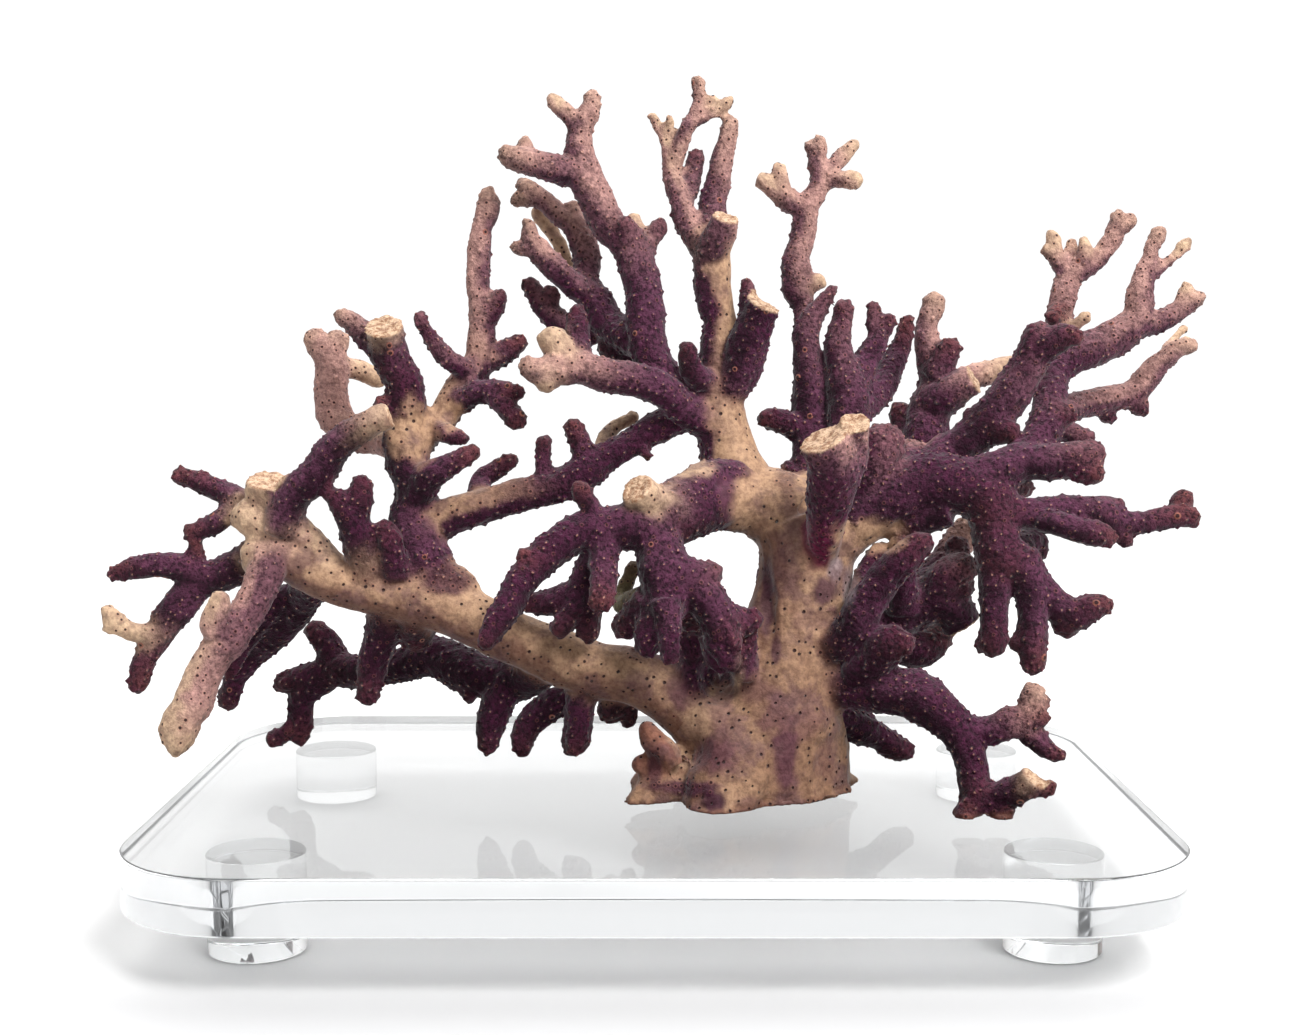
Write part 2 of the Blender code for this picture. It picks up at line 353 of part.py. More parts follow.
        tip((117.5, 31, 14, 3.1), (119.8, 27.8, 14, 2.5)),
        tip((126, 41, 15, 2), (128, 45, 20, 1.5), (131, 48, 21, 1.5)),
        tip((109.5, 29, 13, 2.5), (112, 25.5, 15, 2)),
        tip((97, 24, 0, 3.5), (103, 21.5, -1, 2.8), (107.5, 20.5, -2, 1.6)),
    ],
    "right_stem": [
        tip((34, 1, -4, 5.4), (35.5, 9, 1, 4.8), (37, 15, 3, 4.4), (37.3, 20, 4, 4.6),
            (37.3, 27, 5, 4.5), (37.3, 32.7, 5, 4.1), (36.4, 41.7, 5, 3.6), (36.2, 47, 5, 3.2),
            (38.6, 51.5, 5, 2.7), (41, 55.1, 5, 2.1), (42.8, 57.8, 5, 1.8)),
        tip((35.5, 22, 4, 3.4), (30.5, 24.5, 2, 2.9), (26, 25.5, 1, 2.5)),
        tip((34.5, 9, 0, 3), (31.8, 13, 2, 2.4)),
    ],
    "right_pink_branch": [
        tip((37, 34, 6, 3.2), (36, 43, 14, 2.8), (35.6, 52.9, 18, 2.8), (34.3, 56.9, 18, 3.6),
            (33.8, 61.4, 18, 3.6), (33.4, 65, 18, 3.3), (34.7, 68.6, 18, 3.2), (35.6, 72.2, 18, 3),
            (36.1, 75.8, 18, 3.1), (36.4, 78.5, 18, 3), (38.3, 81.2, 18, 2.7), (40.1, 85.2, 18, 2.6),
            (38.9, 89.7, 18, 2.3), (39.7, 95.1, 18, 1.8)),
        tip((35.5, 77.5, 18, 2.8), (31.6, 80.3, 17, 2.5), (28.5, 82.5, 16, 2.4), (25.3, 84.7, 15, 2.1)),
        tip((30, 81.5, 16, 2.1), (29.4, 87.9, 15, 1.8)),
        tip((38.6, 91, 18, 1.9), (36.8, 93.8, 18, 1.6)),
        tip((40.5, 86, 18, 2.2), (43.7, 89.2, 19, 2), (46.4, 92.4, 20, 1.8), (48.4, 94.2, 20, 1.7)),
        tip((40, 84.5, 18, 2.4), (44.2, 85.2, 17, 2.2), (48.7, 84.7, 16, 2.2)),
        tip((36, 58, 18, 2.5), (39.5, 60.1, 17, 1.8)),
    ],
    "middle_stem": [
        tip((45, 0, -6, 6), (45, 12, 0, 5.6), (46.5, 22, 1, 5.8), (47, 30, 1, 5.6), (45.5, 37, 2, 4.8),
            (44.3, 44, 2, 3.6), (45.3, 50, 2, 3.1), (45.7, 53.5, 2, 2.8)),
        tip((48, 32, 3, 4.4), (50.9, 39.4, 6, 3.8), (54.3, 45.3, 7, 3.5), (53.2, 48.8, 7, 2.7),
            (52.9, 53.8, 7, 1.9)),
        tip((54.5, 46, 7, 2.8), (57.2, 50.2, 7, 2.4)),
        tip((49, 27, 3, 4.6), (54.5, 32.7, 9, 3.8), (57.4, 38.5, 13, 3.3), (60, 43.9, 15, 2.8),
            (61.7, 50, 15, 2.2)),
    ],
    "inner_stem": [
        tip((60, 9, -11, 5.4), (64, 16, -1, 5.6), (66, 21, 0, 5.6), (67, 28, 1, 5.2), (68.5, 33, 1, 4.6),
            (68.4, 37.2, 1, 4), (66.6, 43.9, 0, 3.6), (66.2, 49.3, 0, 2.8), (68.4, 54.7, 0, 2.6)),
        tip((68, 36, -1, 3.8), (71, 40.5, -3, 3.2), (72, 43.7, -4, 2.8)),
        stump((68, 29, -1, 4.8), (73, 32.3, -4, 4.4), (78.5, 35.2, -6, 4)),
        tip((70, 32, 3, 3.6), (78, 36, 6, 3), (83, 37, 8, 2.8), (88, 38.5, 10, 2.4)),
        tip((64, 18, 1, 3.6), (60.5, 23, 5, 3), (59.5, 27.6, 6, 2.8)),
    ],
    "lower_right_branch": [
        tip((38, -40, -7, 7.5), (47, -41.5, -12, 6.6), (55, -42.4, -16, 6.3), (63, -44, -19, 6.3),
            (69, -47.8, -22, 5.7), (74, -52.4, -24, 5), (76.8, -58, -26, 4.4), (78, -64, -27, 4.1),
            (79.5, -70, -29, 4.3)),
        stump((79, -70, -29, 3.6), (76.2, -73.5, -30, 2.9), (75.6, -78, -31, 2.9)),
        stump((81, -69, -29, 3.8), (84.6, -72.5, -30, 3.3), (85.6, -78, -32, 3.2)),
        stump((82, -69.5, -29, 3.6), (86, -68.5, -31, 3.3), (90, -67, -33, 3.2), (93.4, -64.2, -35, 3.1)),
        tip((92, -66.5, -33, 2.8), (97, -66.8, -35, 1.9)),
        tip((75, -53, -24, 4.2), (82, -52.6, -25, 3.7), (87, -50.8, -26, 3.7), (91, -50.5, -26, 3.5),
            (92.6, -47, -26, 3.1), (93.2, -42.8, -26, 2.8)),
        tip((93, -46, -26, 2.8), (95.6, -45, -25, 2.1)),
        tip((91, -50, -27, 2.8), (95.5, -49.4, -28, 2.2)),
        tip((90, -51, -26, 3.3), (93.5, -54.5, -26, 2.9), (96.5, -57.5, -27, 2.4), (100, -59, -28, 2)),
        tip((84, -51.5, -25, 3), (86, -49, -26, 2.4)),
        tip((48, -41, -13, 5.6), (53, -35, -18, 5.6), (57, -31, -22, 5), (61, -31, -25, 3.8)),
        tip((41, -48, -5, 6.5), (49, -51.4, -2, 4.8), (53, -53.5, 0, 3.4), (58, -56.5, 2, 3.1),
            (61, -57.3, 3, 2.5)),
    ],
    "front_finger": [
        tip((39, -33, -10, 5.4), (46, -29, -17, 5), (50, -23, -20, 5), (54, -17, -22, 4.6),
            (58, -12, -24, 4.4), (62, -8, -26, 3.9), (65.3, -5.6, -27, 3.1)),
        tip((49, -22, -18, 3.6), (51.5, -13, -12, 3.2), (54.3, -7, -11, 2.6)),
    ],
    "inner_right_branch": [
        tip((42, -30, -6, 6), (52, -27, -2, 6), (61, -22, -2, 6.2), (68, -19, -4, 6), (72, -14, -8, 5),
            (76, -11.5, -10, 4)),
        stump((68, -18, -5, 5.8), (72, -21, -5, 5.4), (75.4, -26.6, -4, 4.8)),
        tip((72, -14, -8, 4), (74.3, -9.5, -5, 3.3), (73.7, -6, -4, 3)),
        tip((55, -27, 0, 5), (61, -31.5, 2, 4.8), (66, -31.6, 3, 4.6), (70, -28.5, 4, 3.6)),
        tip((64, -20, 2, 5), (69, -13, 8, 4.2), (74.5, -5, 12, 4), (76.5, -1.5, 13, 3.4)),
        tip((68, -19, -4, 5.6), (75, -16.5, -8, 4)),
        tip((60, -22, -6, 4.6), (60, -13, -11, 3.6), (59.5, -5.5, -13, 3.2)),
    ],
    "back_branch_1": [
        tip((31, -22, 0, 7), (30, -14, 18, 6), (29, -6, 34, 5), (27, 2, 46, 4.2), (22.5, 9, 58, 3.2)),
        tip((28, -2, 42, 4.4), (34, 3, 52, 3.4), (36, 8, 58, 2.8)),
        tip((30, -12, 22, 5), (33, -22, 34, 4), (34, -27, 42, 3)),
    ],
    "back_branch_2": [
        tip((60, 7, -9, 6), (62, 6, 8, 5.4), (63, 8, 24, 4.6), (60, 11, 38, 3.8), (57, 16, 48, 3)),
        tip((63, 8, 22, 4.2), (70, 9, 34, 3.4), (74, 12, 42, 2.8)),
    ],
    "back_branch_3": [
        tip((60, -23, 1, 4.8), (62, -20, 16, 4.4), (65, -18, 30, 4), (62, -14, 42, 3.2)),
        tip((64, -19, 24, 3.8), (70, -19, 36, 3.2), (73, -22, 44, 2.6)),
    ],
    "back_branch_4": [
        tip((-46, -25, -8, 5.4), (-47, -24, 8, 4.8), (-49, -22, 24, 4.2), (-52, -21, 38, 3.4),
            (-56, -19, 46, 2.8)),
        tip((-48, -23, 18, 4.2), (-43, -26, 32, 3.4), (-40, -27, 42, 2.8)),
    ],
    "back_branch_5": [
        tip((15.5, 20, -3, 5.4), (15.5, 22, 12, 4.6), (16, 27, 26, 4), (15, 34, 38, 3)),
        tip((16, 24, 20, 4), (14.5, 18, 34, 3.4), (16, 14, 44, 2.8)),
    ],
}

ACRYLIC_COLOR = (0.93, 0.95, 0.96, 1.0)
ACRYLIC_ROUGHNESS = 0.03
ACRYLIC_ALPHA = 0.3
CORAL_ROUGHNESS = 0.75
CORAL_COLORS = {
    "tan": (0.52, 0.36, 0.21, 1.0),
    "purple": (0.085, 0.028, 0.062, 1.0),
    "pink": (0.36, 0.19, 0.18, 1.0),
}
TAN_LIMBS = ("trunk", "left_limb", "inner_left_branch", "centre_stem")
PINK_LIMBS = ("far_left_pale_branch", "left_stem_side", "right_pink_branch", "far_right_branch",
              "far_right_back_branch", "right_pale_branch", "upper_left_fork")


def clear_scene():
    for obj in list(bpy.data.objects):
        bpy.data.objects.remove(obj, do_unlink=True)


def new_collection(name):
    collection = bpy.data.collections.new(name)
    bpy.context.scene.collection.children.link(collection)
    return collection


def make_material(name, color, roughness, alpha=1.0):
    material = bpy.data.materials.new(name)
    material.use_nodes = True
    shader = material.node_tree.nodes["Principled BSDF"]
    shader.inputs["Base Color"].default_value = color
    shader.inputs["Roughness"].default_value = roughness
    shader.inputs["Alpha"].default_value = alpha
    material.diffuse_color = (*color[:3], alpha)
    return material


def add_object(name, mesh, collection):
    obj = bpy.data.objects.new(name, mesh)
    collection.objects.link(obj)
    return obj


def in_space(across, up, back):
    """Slide a point of the drawing plane back along its line of sight, in mm."""
    stretch = (DRAWING_DISTANCE + back) / DRAWING_DISTANCE
    right = Vector((1.0, 0.0, 0.0))
    forward = Vector((0.0, math.cos(VIEW_PITCH), -math.sin(VIEW_PITCH)))
    upward = Vector((0.0, math.sin(VIEW_PITCH), math.cos(VIEW_PITCH)))
    across += DRAWING_ORIGIN[0]
    up += DRAWING_ORIGIN[1]
    on_plane = right * across + upward * up + forward * DRAWING_DISTANCE
    return Vector(VIEWPOINT) + on_plane * stretch, stretch


def smooth_path(points):
    """A Catmull-Rom curve through the branch's points, as rows of x, y, z and radius in mm."""
    rows = []
    for across, up, back, radius in points:
        place, stretch = in_space(across, up, back)
        rows.append((*place, radius * stretch))
    rows = np.array(rows)
    before = np.vstack([2 * rows[0] - rows[1], rows, 2 * rows[-1] - rows[-2]])
    path = []
    for index in range(len(rows) - 1):
        p0, p1, p2, p3 = before[index:index + 4]
        for t in np.linspace(0.0, 1.0, PATH_STEPS, endpoint=False):
            path.append(0.5 * (2 * p1 + (p2 - p0) * t + (2 * p0 - 5 * p1 + 4 * p2 - p3) * t ** 2
                               + (3 * p1 - p0 - 3 * p2 + p3) * t ** 3))
    path.append(rows[-1])
    return np.array(path)


def round_off(path):
    """Close a path's far end as a half ball, which reaches one radius past the last point."""
    heading = path[-1, :3] - path[-2, :3]
    heading /= np.linalg.norm(heading)
    radius = path[-1, 3]
    rows = [path[-1].copy()]
    rows[0][:3] -= heading * radius * END_SETBACK
    for angle in np.radians(END_ANGLES):
        place = path[-1, :3] + heading * radius * (math.sin(angle) - END_SETBACK)
        rows.append(np.array([*place, radius * math.cos(angle)]))
    return np.vstack([path[:-1], rows])


def branch_curve(name, branches):
    """All branches of one limb as round tapering tubes in one curve object."""
    curve = bpy.data.curves.new(name, "CURVE")
    curve.dimensions = "3D"
    curve.bevel_depth = MM
    curve.bevel_resolution = TUBE_FACETS
    curve.use_fill_caps = True
    for points, rounded in branches:
        path = smooth_path(points)
        if rounded:
            path = round_off(path)
        spline = curve.splines.new("POLY")
        spline.points.add(len(path) - 1)
        for point, row in zip(spline.points, path):
            point.co = (*(row[:3] * MM), 1.0)
            point.radius = row[3]
    return bpy.data.objects.new(name, curve)


def evaluated_mesh(obj):
    """The mesh an object shows with its modifiers applied."""
    graph = bpy.context.evaluated_depsgraph_get()
    return bpy.data.meshes.new_from_object(obj.evaluated_get(graph))


def bake_modifiers(obj):
    """Give an object the mesh that its modifiers make, and drop them."""
    mesh = evaluated_mesh(obj)
    old = obj.data
    obj.modifiers.clear()
    obj.data = mesh
    bpy.data.meshes.remove(old)


def branch_length(branches):
    return sum(float(np.linalg.norm(np.diff(smooth_path(points)[:, :3], axis=0), axis=1).sum())
               for points, _ in branches)


def face_islands(bm):
    """Groups of faces that hang together over shared edges, the largest first."""
    unseen = set(bm.faces)
    islands = []
    while unseen:
        start = unseen.pop()
        island = [start]
        stack = [start]
        while stack:
            for edge in stack.pop().edges:
                for face in edge.link_faces:
                    if face in unseen:
                        unseen.discard(face)
                        island.append(face)
                        stack.append(face)
        islands.append(island)
    return sorted(islands, key=len, reverse=True)


def tidy_cut(mesh):
    """Merge the points that a cut leaves almost on each other, and drop its crumbs."""
    bm = bmesh.new()
    bm.from_mesh(mesh)
    bmesh.ops.remove_doubles(bm, verts=bm.verts, dist=MERGE * MM)
    bmesh.ops.dissolve_degenerate(bm, dist=MERGE * MM, edges=bm.edges)
    crumbs = [face for island in face_islands(bm)[1:] for face in island]
    bmesh.ops.delete(bm, geom=crumbs, context="FACES")
    rims = [edge for edge in bm.edges if edge.is_boundary]
    if rims:
        bmesh.ops.holes_fill(bm, edges=rims, sides=0)
    bmesh.ops.triangulate(bm, faces=bm.faces)
    bmesh.ops.recalc_face_normals(bm, faces=bm.faces)
    bm.to_mesh(mesh)
    bm.free()
    return len(crumbs)


def subtract(obj, cutter):
    cut = obj.modifiers.new("cut " + cutter.name, "BOOLEAN")
    cut.operation = "DIFFERENCE"
    cut.solver = "EXACT"
    cut.use_self = True
    cut.object = cutter


def make_cutter(name, mesh, collection):
    cutter = add_object(name, mesh, collection)
    cutter.hide_render = True
    cutter.display_type = "WIRE"
    return cutter


def envelope(limb, collection):
    """A copy of a limb, swollen by the gap, that cuts the seat of its neighbours."""
    cutter = make_cutter(limb.name + " envelope", limb.data.copy(), collection)
    swell = cutter.modifiers.new("gap", "DISPLACE")
    swell.strength = GAP * MM
    swell.mid_level = 0.0
    bpy.context.view_layer.update()
    bake_modifiers(cutter)
    return cutter


def ground_cutter(collection):
    """A block under the coral, whose top is the flat cut that the coral rests on."""
    bpy.ops.mesh.primitive_cube_add(size=1.0)
    block = bpy.context.object
    block.name = "ground cut"
    width, depth, height = GROUND
    block.data.transform(Matrix.Translation((0.0, 0.0, (CORAL_CUT - height / 2) * MM))
                         @ Matrix.Diagonal((width * MM, depth * MM, height * MM, 1.0)))
    for owner in list(block.users_collection):
        owner.objects.unlink(block)
    collection.objects.link(block)
    block.hide_render = True
    block.display_type = "WIRE"
    return block


def boxes_meet(first, second):
    reach = NEAR * MM
    low_a, high_a = mesh_box(first)
    low_b, high_b = mesh_box(second)
    return bool(np.all(low_a - reach <= high_b) and np.all(low_b - reach <= high_a))


def mesh_box(obj):
    places = np.empty(len(obj.data.vertices) * 3)
    obj.data.vertices.foreach_get("co", places)
    places = places.reshape(-1, 3)
    return places.min(axis=0), places.max(axis=0)


def grow_limb(name, branches, collection):
    """Fuse a limb's tubes, round their forks, and thin the mesh to its share of triangles."""
    skeleton = branch_curve(name + " skeleton", branches)
    bpy.context.scene.collection.objects.link(skeleton)
    bpy.context.view_layer.update()
    mesh = evaluated_mesh(skeleton)
    bpy.data.objects.remove(skeleton, do_unlink=True)
    limb = add_object(name, mesh, collection)
    fuse = limb.modifiers.new("fuse", "REMESH")
    fuse.mode = "VOXEL"
    fuse.voxel_size = VOXEL * MM
    soften = limb.modifiers.new("soften", "SMOOTH")
    soften.factor = SOFTEN
    soften.iterations = 1
    split = limb.modifiers.new("split", "TRIANGULATE")
    split.quad_method = "BEAUTY"
    bpy.context.view_layer.update()
    bake_modifiers(limb)
    target = max(MIN_TRIANGLES, TRIANGLES_PER_MM * branch_length(branches))
    thin = limb.modifiers.new("thin", "DECIMATE")
    thin.ratio = min(1.0, target / len(limb.data.polygons))
    bpy.context.view_layer.update()
    bake_modifiers(limb)
    return limb


def limb_color(name):
    if name in TAN_LIMBS:
        return "tan"
    return "pink" if name in PINK_LIMBS else "purple"


def grow_coral(parts, cutters):
    """Grow each limb, and seat it on those grown before it and on the flat cut at the base."""
    materials = {key: make_material("coral " + key, color, CORAL_ROUGHNESS)
                 for key, color in CORAL_COLORS.items()}
    ground = ground_cutter(cutters)
    grown = []
    for name, branches in LIMBS.items():
        limb = grow_limb(name, branches, parts)
        before = len(limb.data.vertices)
        for other, other_envelope in grown:
            if boxes_meet(limb, other):
                subtract(limb, other_envelope)
        if mesh_box(limb)[0][2] < CORAL_CUT * MM:
            subtract(limb, ground)
        bpy.context.view_layer.update()
        bake_modifiers(limb)
        lost = tidy_cut(limb.data)
        limb.data.materials.clear()
        limb.data.materials.append(materials[limb_color(name)])
        limb.data.shade_smooth()
        grown.append((limb, envelope(limb, cutters)))
        print(name, before, "points,", lost, "dropped,", len(limb.data.polygons), "triangles")


def rounded_slab(parts, material):
    """The slab: a rounded outline, raised to its thickness, with fine bevels on its rims."""
    bpy.ops.mesh.primitive_cube_add(size=1.0)
    slab = bpy.context.object
    slab.name = "base_plate"
    middle = (FOOT_HEIGHT + GAP + SLAB_THICKNESS / 2) * MM
    slab.data.transform(Matrix.Diagonal((SLAB_WIDTH * MM, SLAB_DEPTH * MM, SLAB_THICKNESS * MM, 1.0)))
    slab.data.transform(Matrix.Translation((0.0, 0.0, middle)))
    bm = bmesh.new()
    bm.from_mesh(slab.data)
    upright = [edge for edge in bm.edges
               if abs(edge.verts[0].co.z - edge.verts[1].co.z) > SLAB_THICKNESS * MM / 2]
    bmesh.ops.bevel(bm, geom=upright, offset=SLAB_CORNER * MM, offset_type="OFFSET",
                    segments=CORNER_FACETS, profile=0.5, affect="EDGES", clamp_overlap=False)
    bm.to_mesh(slab.data)
    bm.free()
    finish_acrylic(slab, parts, material, SLAB_EDGE_BEVEL)


def foot(name, x, y, parts, material):
    bpy.ops.mesh.primitive_cylinder_add(vertices=FOOT_SIDES, radius=FOOT_DIAMETER / 2 * MM,
                                        depth=FOOT_HEIGHT * MM)
    cylinder = bpy.context.object
    cylinder.name = name
    cylinder.location = (x * MM, y * MM, FOOT_HEIGHT / 2 * MM)
    finish_acrylic(cylinder, parts, material, FOOT_BEVEL)


def finish_acrylic(obj, parts, material, bevel_width):
    bevel = obj.modifiers.new("polished edge", "BEVEL")
    bevel.width = bevel_width * MM
    bevel.segments = 1
    bevel.limit_method = "ANGLE"
    bevel.angle_limit = math.radians(BEVEL_ANGLE)
    obj.data.materials.append(material)
    obj.data.shade_smooth()
    obj.data.set_sharp_from_angle(angle=math.radians(SHARP_ANGLE))
    for owner in list(obj.users_collection):
        owner.objects.unlink(obj)
    parts.objects.link(obj)


def build_stand(parts):
    acrylic = make_material("clear acrylic", ACRYLIC_COLOR, ACRYLIC_ROUGHNESS, ACRYLIC_ALPHA)
    rounded_slab(parts, acrylic)
    for side, sign_x in (("left", -1), ("right", 1)):
        for end, sign_y in (("front", -1), ("back", 1)):
            foot(f"foot_{end}_{side}", sign_x * FOOT_ACROSS, sign_y * FOOT_BACK, parts, acrylic)


def main():
    clear_scene()
    parts = new_collection("branching coral")
    cutters = new_collection("cutters")
    build_stand(parts)
    grow_coral(parts, cutters)
    bpy.context.view_layer.update()


main()
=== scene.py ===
"""A dried branching coral on its clear acrylic stand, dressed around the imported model.

The coral is laid out on an upright drawing plane, as seen from one viewpoint: each branch is a line of
points (across, up, back, radius) in mm. Tubes are carried along those lines, fused, filled in at the
forks, and then raised into warts, pores, knobbly tips and rough broken ends.
"""
import logging
import math
from collections.abc import Callable, Iterator
from dataclasses import dataclass, field
from enum import Enum

import bpy
import numpy as np
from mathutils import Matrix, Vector


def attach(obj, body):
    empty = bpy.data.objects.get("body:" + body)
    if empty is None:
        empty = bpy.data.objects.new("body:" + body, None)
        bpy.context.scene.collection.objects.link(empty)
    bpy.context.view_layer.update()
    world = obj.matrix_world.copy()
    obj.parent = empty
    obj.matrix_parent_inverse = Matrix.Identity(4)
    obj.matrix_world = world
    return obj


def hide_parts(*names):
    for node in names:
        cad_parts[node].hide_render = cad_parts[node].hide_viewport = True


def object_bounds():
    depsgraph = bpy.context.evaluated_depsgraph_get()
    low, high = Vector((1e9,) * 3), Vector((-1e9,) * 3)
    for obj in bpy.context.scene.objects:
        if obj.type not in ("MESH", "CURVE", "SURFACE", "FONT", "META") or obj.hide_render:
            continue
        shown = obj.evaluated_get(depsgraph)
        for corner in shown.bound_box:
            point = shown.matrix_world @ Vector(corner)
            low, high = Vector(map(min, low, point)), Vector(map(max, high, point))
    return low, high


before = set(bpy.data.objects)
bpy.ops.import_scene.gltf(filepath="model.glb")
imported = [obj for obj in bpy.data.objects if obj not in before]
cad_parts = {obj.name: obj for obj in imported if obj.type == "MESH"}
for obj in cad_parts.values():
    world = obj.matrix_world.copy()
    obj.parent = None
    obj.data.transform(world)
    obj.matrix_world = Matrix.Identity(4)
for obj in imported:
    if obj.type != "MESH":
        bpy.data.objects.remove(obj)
CAD_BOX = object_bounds()
MM = 0.001
BODY = "root"
LOG = logging.getLogger("branching_coral")
Rows = np.ndarray
Socket = bpy.types.NodeSocket
Value = Socket | float | tuple
Piece = bpy.types.Object


class Tone(Enum):
    """The coral's colours: red, green and blue, and how warty a surface of it is. Some stand in for light
    or shade, as noted beside them.
    """

    TAN = (0.415, 0.258, 0.160, 0.0)
    # Darker brown low on the trunk: partly its own brown staining, partly painted shade at the base.
    EARTH_AND_SHADE = (0.250, 0.142, 0.088, 0.0)
    # The tan's darker flank: partly its own browner underside, partly painted shade.
    UMBER_AND_SHADE = (0.20, 0.103, 0.070, 0.0)
    SAND = (0.52, 0.355, 0.235, 0.25)
    # Painted highlight: a lighter copy of purple for the lit, upper side of purple branches.
    LIT_LILAC = (0.120, 0.037, 0.076, 0.9)
    PURPLE = (0.070, 0.012, 0.040, 1.0)
    # Painted shade: a darker copy of purple for the shaded flank of purple branches.
    PLUM = (0.030, 0.004, 0.016, 1.0)
    MAUVE = (0.200, 0.088, 0.112, 0.85)
    ROSE = (0.52, 0.295, 0.258, 0.7)
    CREAM = (0.60, 0.42, 0.28, 0.3)
    RUST = (0.17, 0.052, 0.055, 0.95)
    MAGENTA = (0.19, 0.012, 0.060, 1.0)
    OLIVE = (0.20, 0.170, 0.085, 0.5)
    # Painted highlight: a pale grey tone for the trunk's lit right edge.
    RIM_HIGHLIGHT = (0.36, 0.30, 0.34, 0.1)
    BROWN = (0.24, 0.110, 0.070, 0.0)
    # Partly the trunk's own mauve-brown stains, partly painted shade in its furrows and low on the trunk.
    MAUVE_STAIN_AND_SHADE = (0.108, 0.040, 0.056, 0.0)
    # Near-black purple: partly the groove's own dark purple, partly painted shade in the trunk's grooves
    # and forks and low at its base.
    DARK_PURPLE_AND_SHADE = (0.055, 0.017, 0.034, 0.0)


class Coat(Enum):
    """A branch's coat: its tone at the root and at the end, on the bare side and on the dark flank, and
    how far along the branch the one turns into the other. The flank is partly the branch's own second
    tone and partly painted shade; the lilac bare side of purple branches is a painted highlight."""

    TAN = (Tone.TAN, Tone.TAN, Tone.UMBER_AND_SHADE, Tone.UMBER_AND_SHADE, 0.5)
    EARTH_AND_SHADE_TO_TAN = (Tone.EARTH_AND_SHADE, Tone.TAN, Tone.UMBER_AND_SHADE, Tone.UMBER_AND_SHADE, 0.62)
    BROWN = (Tone.BROWN, Tone.BROWN, Tone.BROWN, Tone.BROWN, 0.5)
    STEM = (Tone.TAN, Tone.TAN, Tone.PURPLE, Tone.PURPLE, 0.5)
    STEM_TO_ROSE = (Tone.TAN, Tone.ROSE, Tone.PURPLE, Tone.MAUVE, 0.4)
    STEM_TO_PURPLE = (Tone.TAN, Tone.PURPLE, Tone.PURPLE, Tone.PURPLE, 0.32)
    PURPLE = (Tone.LIT_LILAC, Tone.PURPLE, Tone.PLUM, Tone.PLUM, 0.5)
    # Plain purple on the bare side, and purple's painted shade on the flank.
    PLUM = (Tone.PURPLE, Tone.PURPLE, Tone.PLUM, Tone.PLUM, 0.5)
    PLUM_TO_RUST = (Tone.PURPLE, Tone.RUST, Tone.PLUM, Tone.PURPLE, 0.85)
    PURPLE_TO_RUST = (Tone.LIT_LILAC, Tone.RUST, Tone.PLUM, Tone.PURPLE, 0.85)
    PURPLE_TO_ROSE = (Tone.LIT_LILAC, Tone.ROSE, Tone.PURPLE, Tone.MAUVE, 0.6)
    PURPLE_TO_MAUVE = (Tone.LIT_LILAC, Tone.MAUVE, Tone.PLUM, Tone.PURPLE, 0.7)
    MAUVE = (Tone.MAUVE, Tone.MAUVE, Tone.PURPLE, Tone.PURPLE, 0.5)
    MAUVE_TO_ROSE = (Tone.MAUVE, Tone.ROSE, Tone.PURPLE, Tone.MAUVE, 0.5)
    ROSE = (Tone.ROSE, Tone.ROSE, Tone.MAUVE, Tone.MAUVE, 0.5)
    ROSE_TO_CREAM = (Tone.ROSE, Tone.CREAM, Tone.MAUVE, Tone.ROSE, 0.6)
    SAND = (Tone.SAND, Tone.SAND, Tone.ROSE, Tone.ROSE, 0.5)
    SAND_TO_ROSE = (Tone.SAND, Tone.ROSE, Tone.ROSE, Tone.ROSE, 0.4)
    CREAM = (Tone.CREAM, Tone.CREAM, Tone.SAND, Tone.SAND, 0.5)
    PURPLE_TO_CREAM = (Tone.LIT_LILAC, Tone.CREAM, Tone.PLUM, Tone.SAND, 0.85)
    RUST = (Tone.RUST, Tone.RUST, Tone.PURPLE, Tone.PURPLE, 0.5)
    MAGENTA = (Tone.MAGENTA, Tone.PURPLE, Tone.MAGENTA, Tone.PURPLE, 0.5)
    OLIVE = (Tone.OLIVE, Tone.OLIVE, Tone.OLIVE, Tone.OLIVE, 0.5)


class End(Enum):
    """How a branch ends: grown over and round, broken off flat, or inside another branch or the ground."""

    GROWN = "grown"
    BROKEN = "broken"
    BURIED = "buried"


@dataclass(frozen=True)
class Branch:
    """One branch: its coat, its end, and its points (across, up, back, radius) in mm."""

    coat: Coat
    end: End
    points: tuple


def tip(coat: Coat, *points: tuple) -> Branch:
    """A branch with a round, grown end."""
    return Branch(coat, End.GROWN, points)


def stump(coat: Coat, *points: tuple) -> Branch:
    """A branch with a flat, broken end."""
    return Branch(coat, End.BROKEN, points)


def root(coat: Coat, *points: tuple) -> Branch:
    """A branch whose end is out of sight."""
    return Branch(coat, End.BURIED, points)


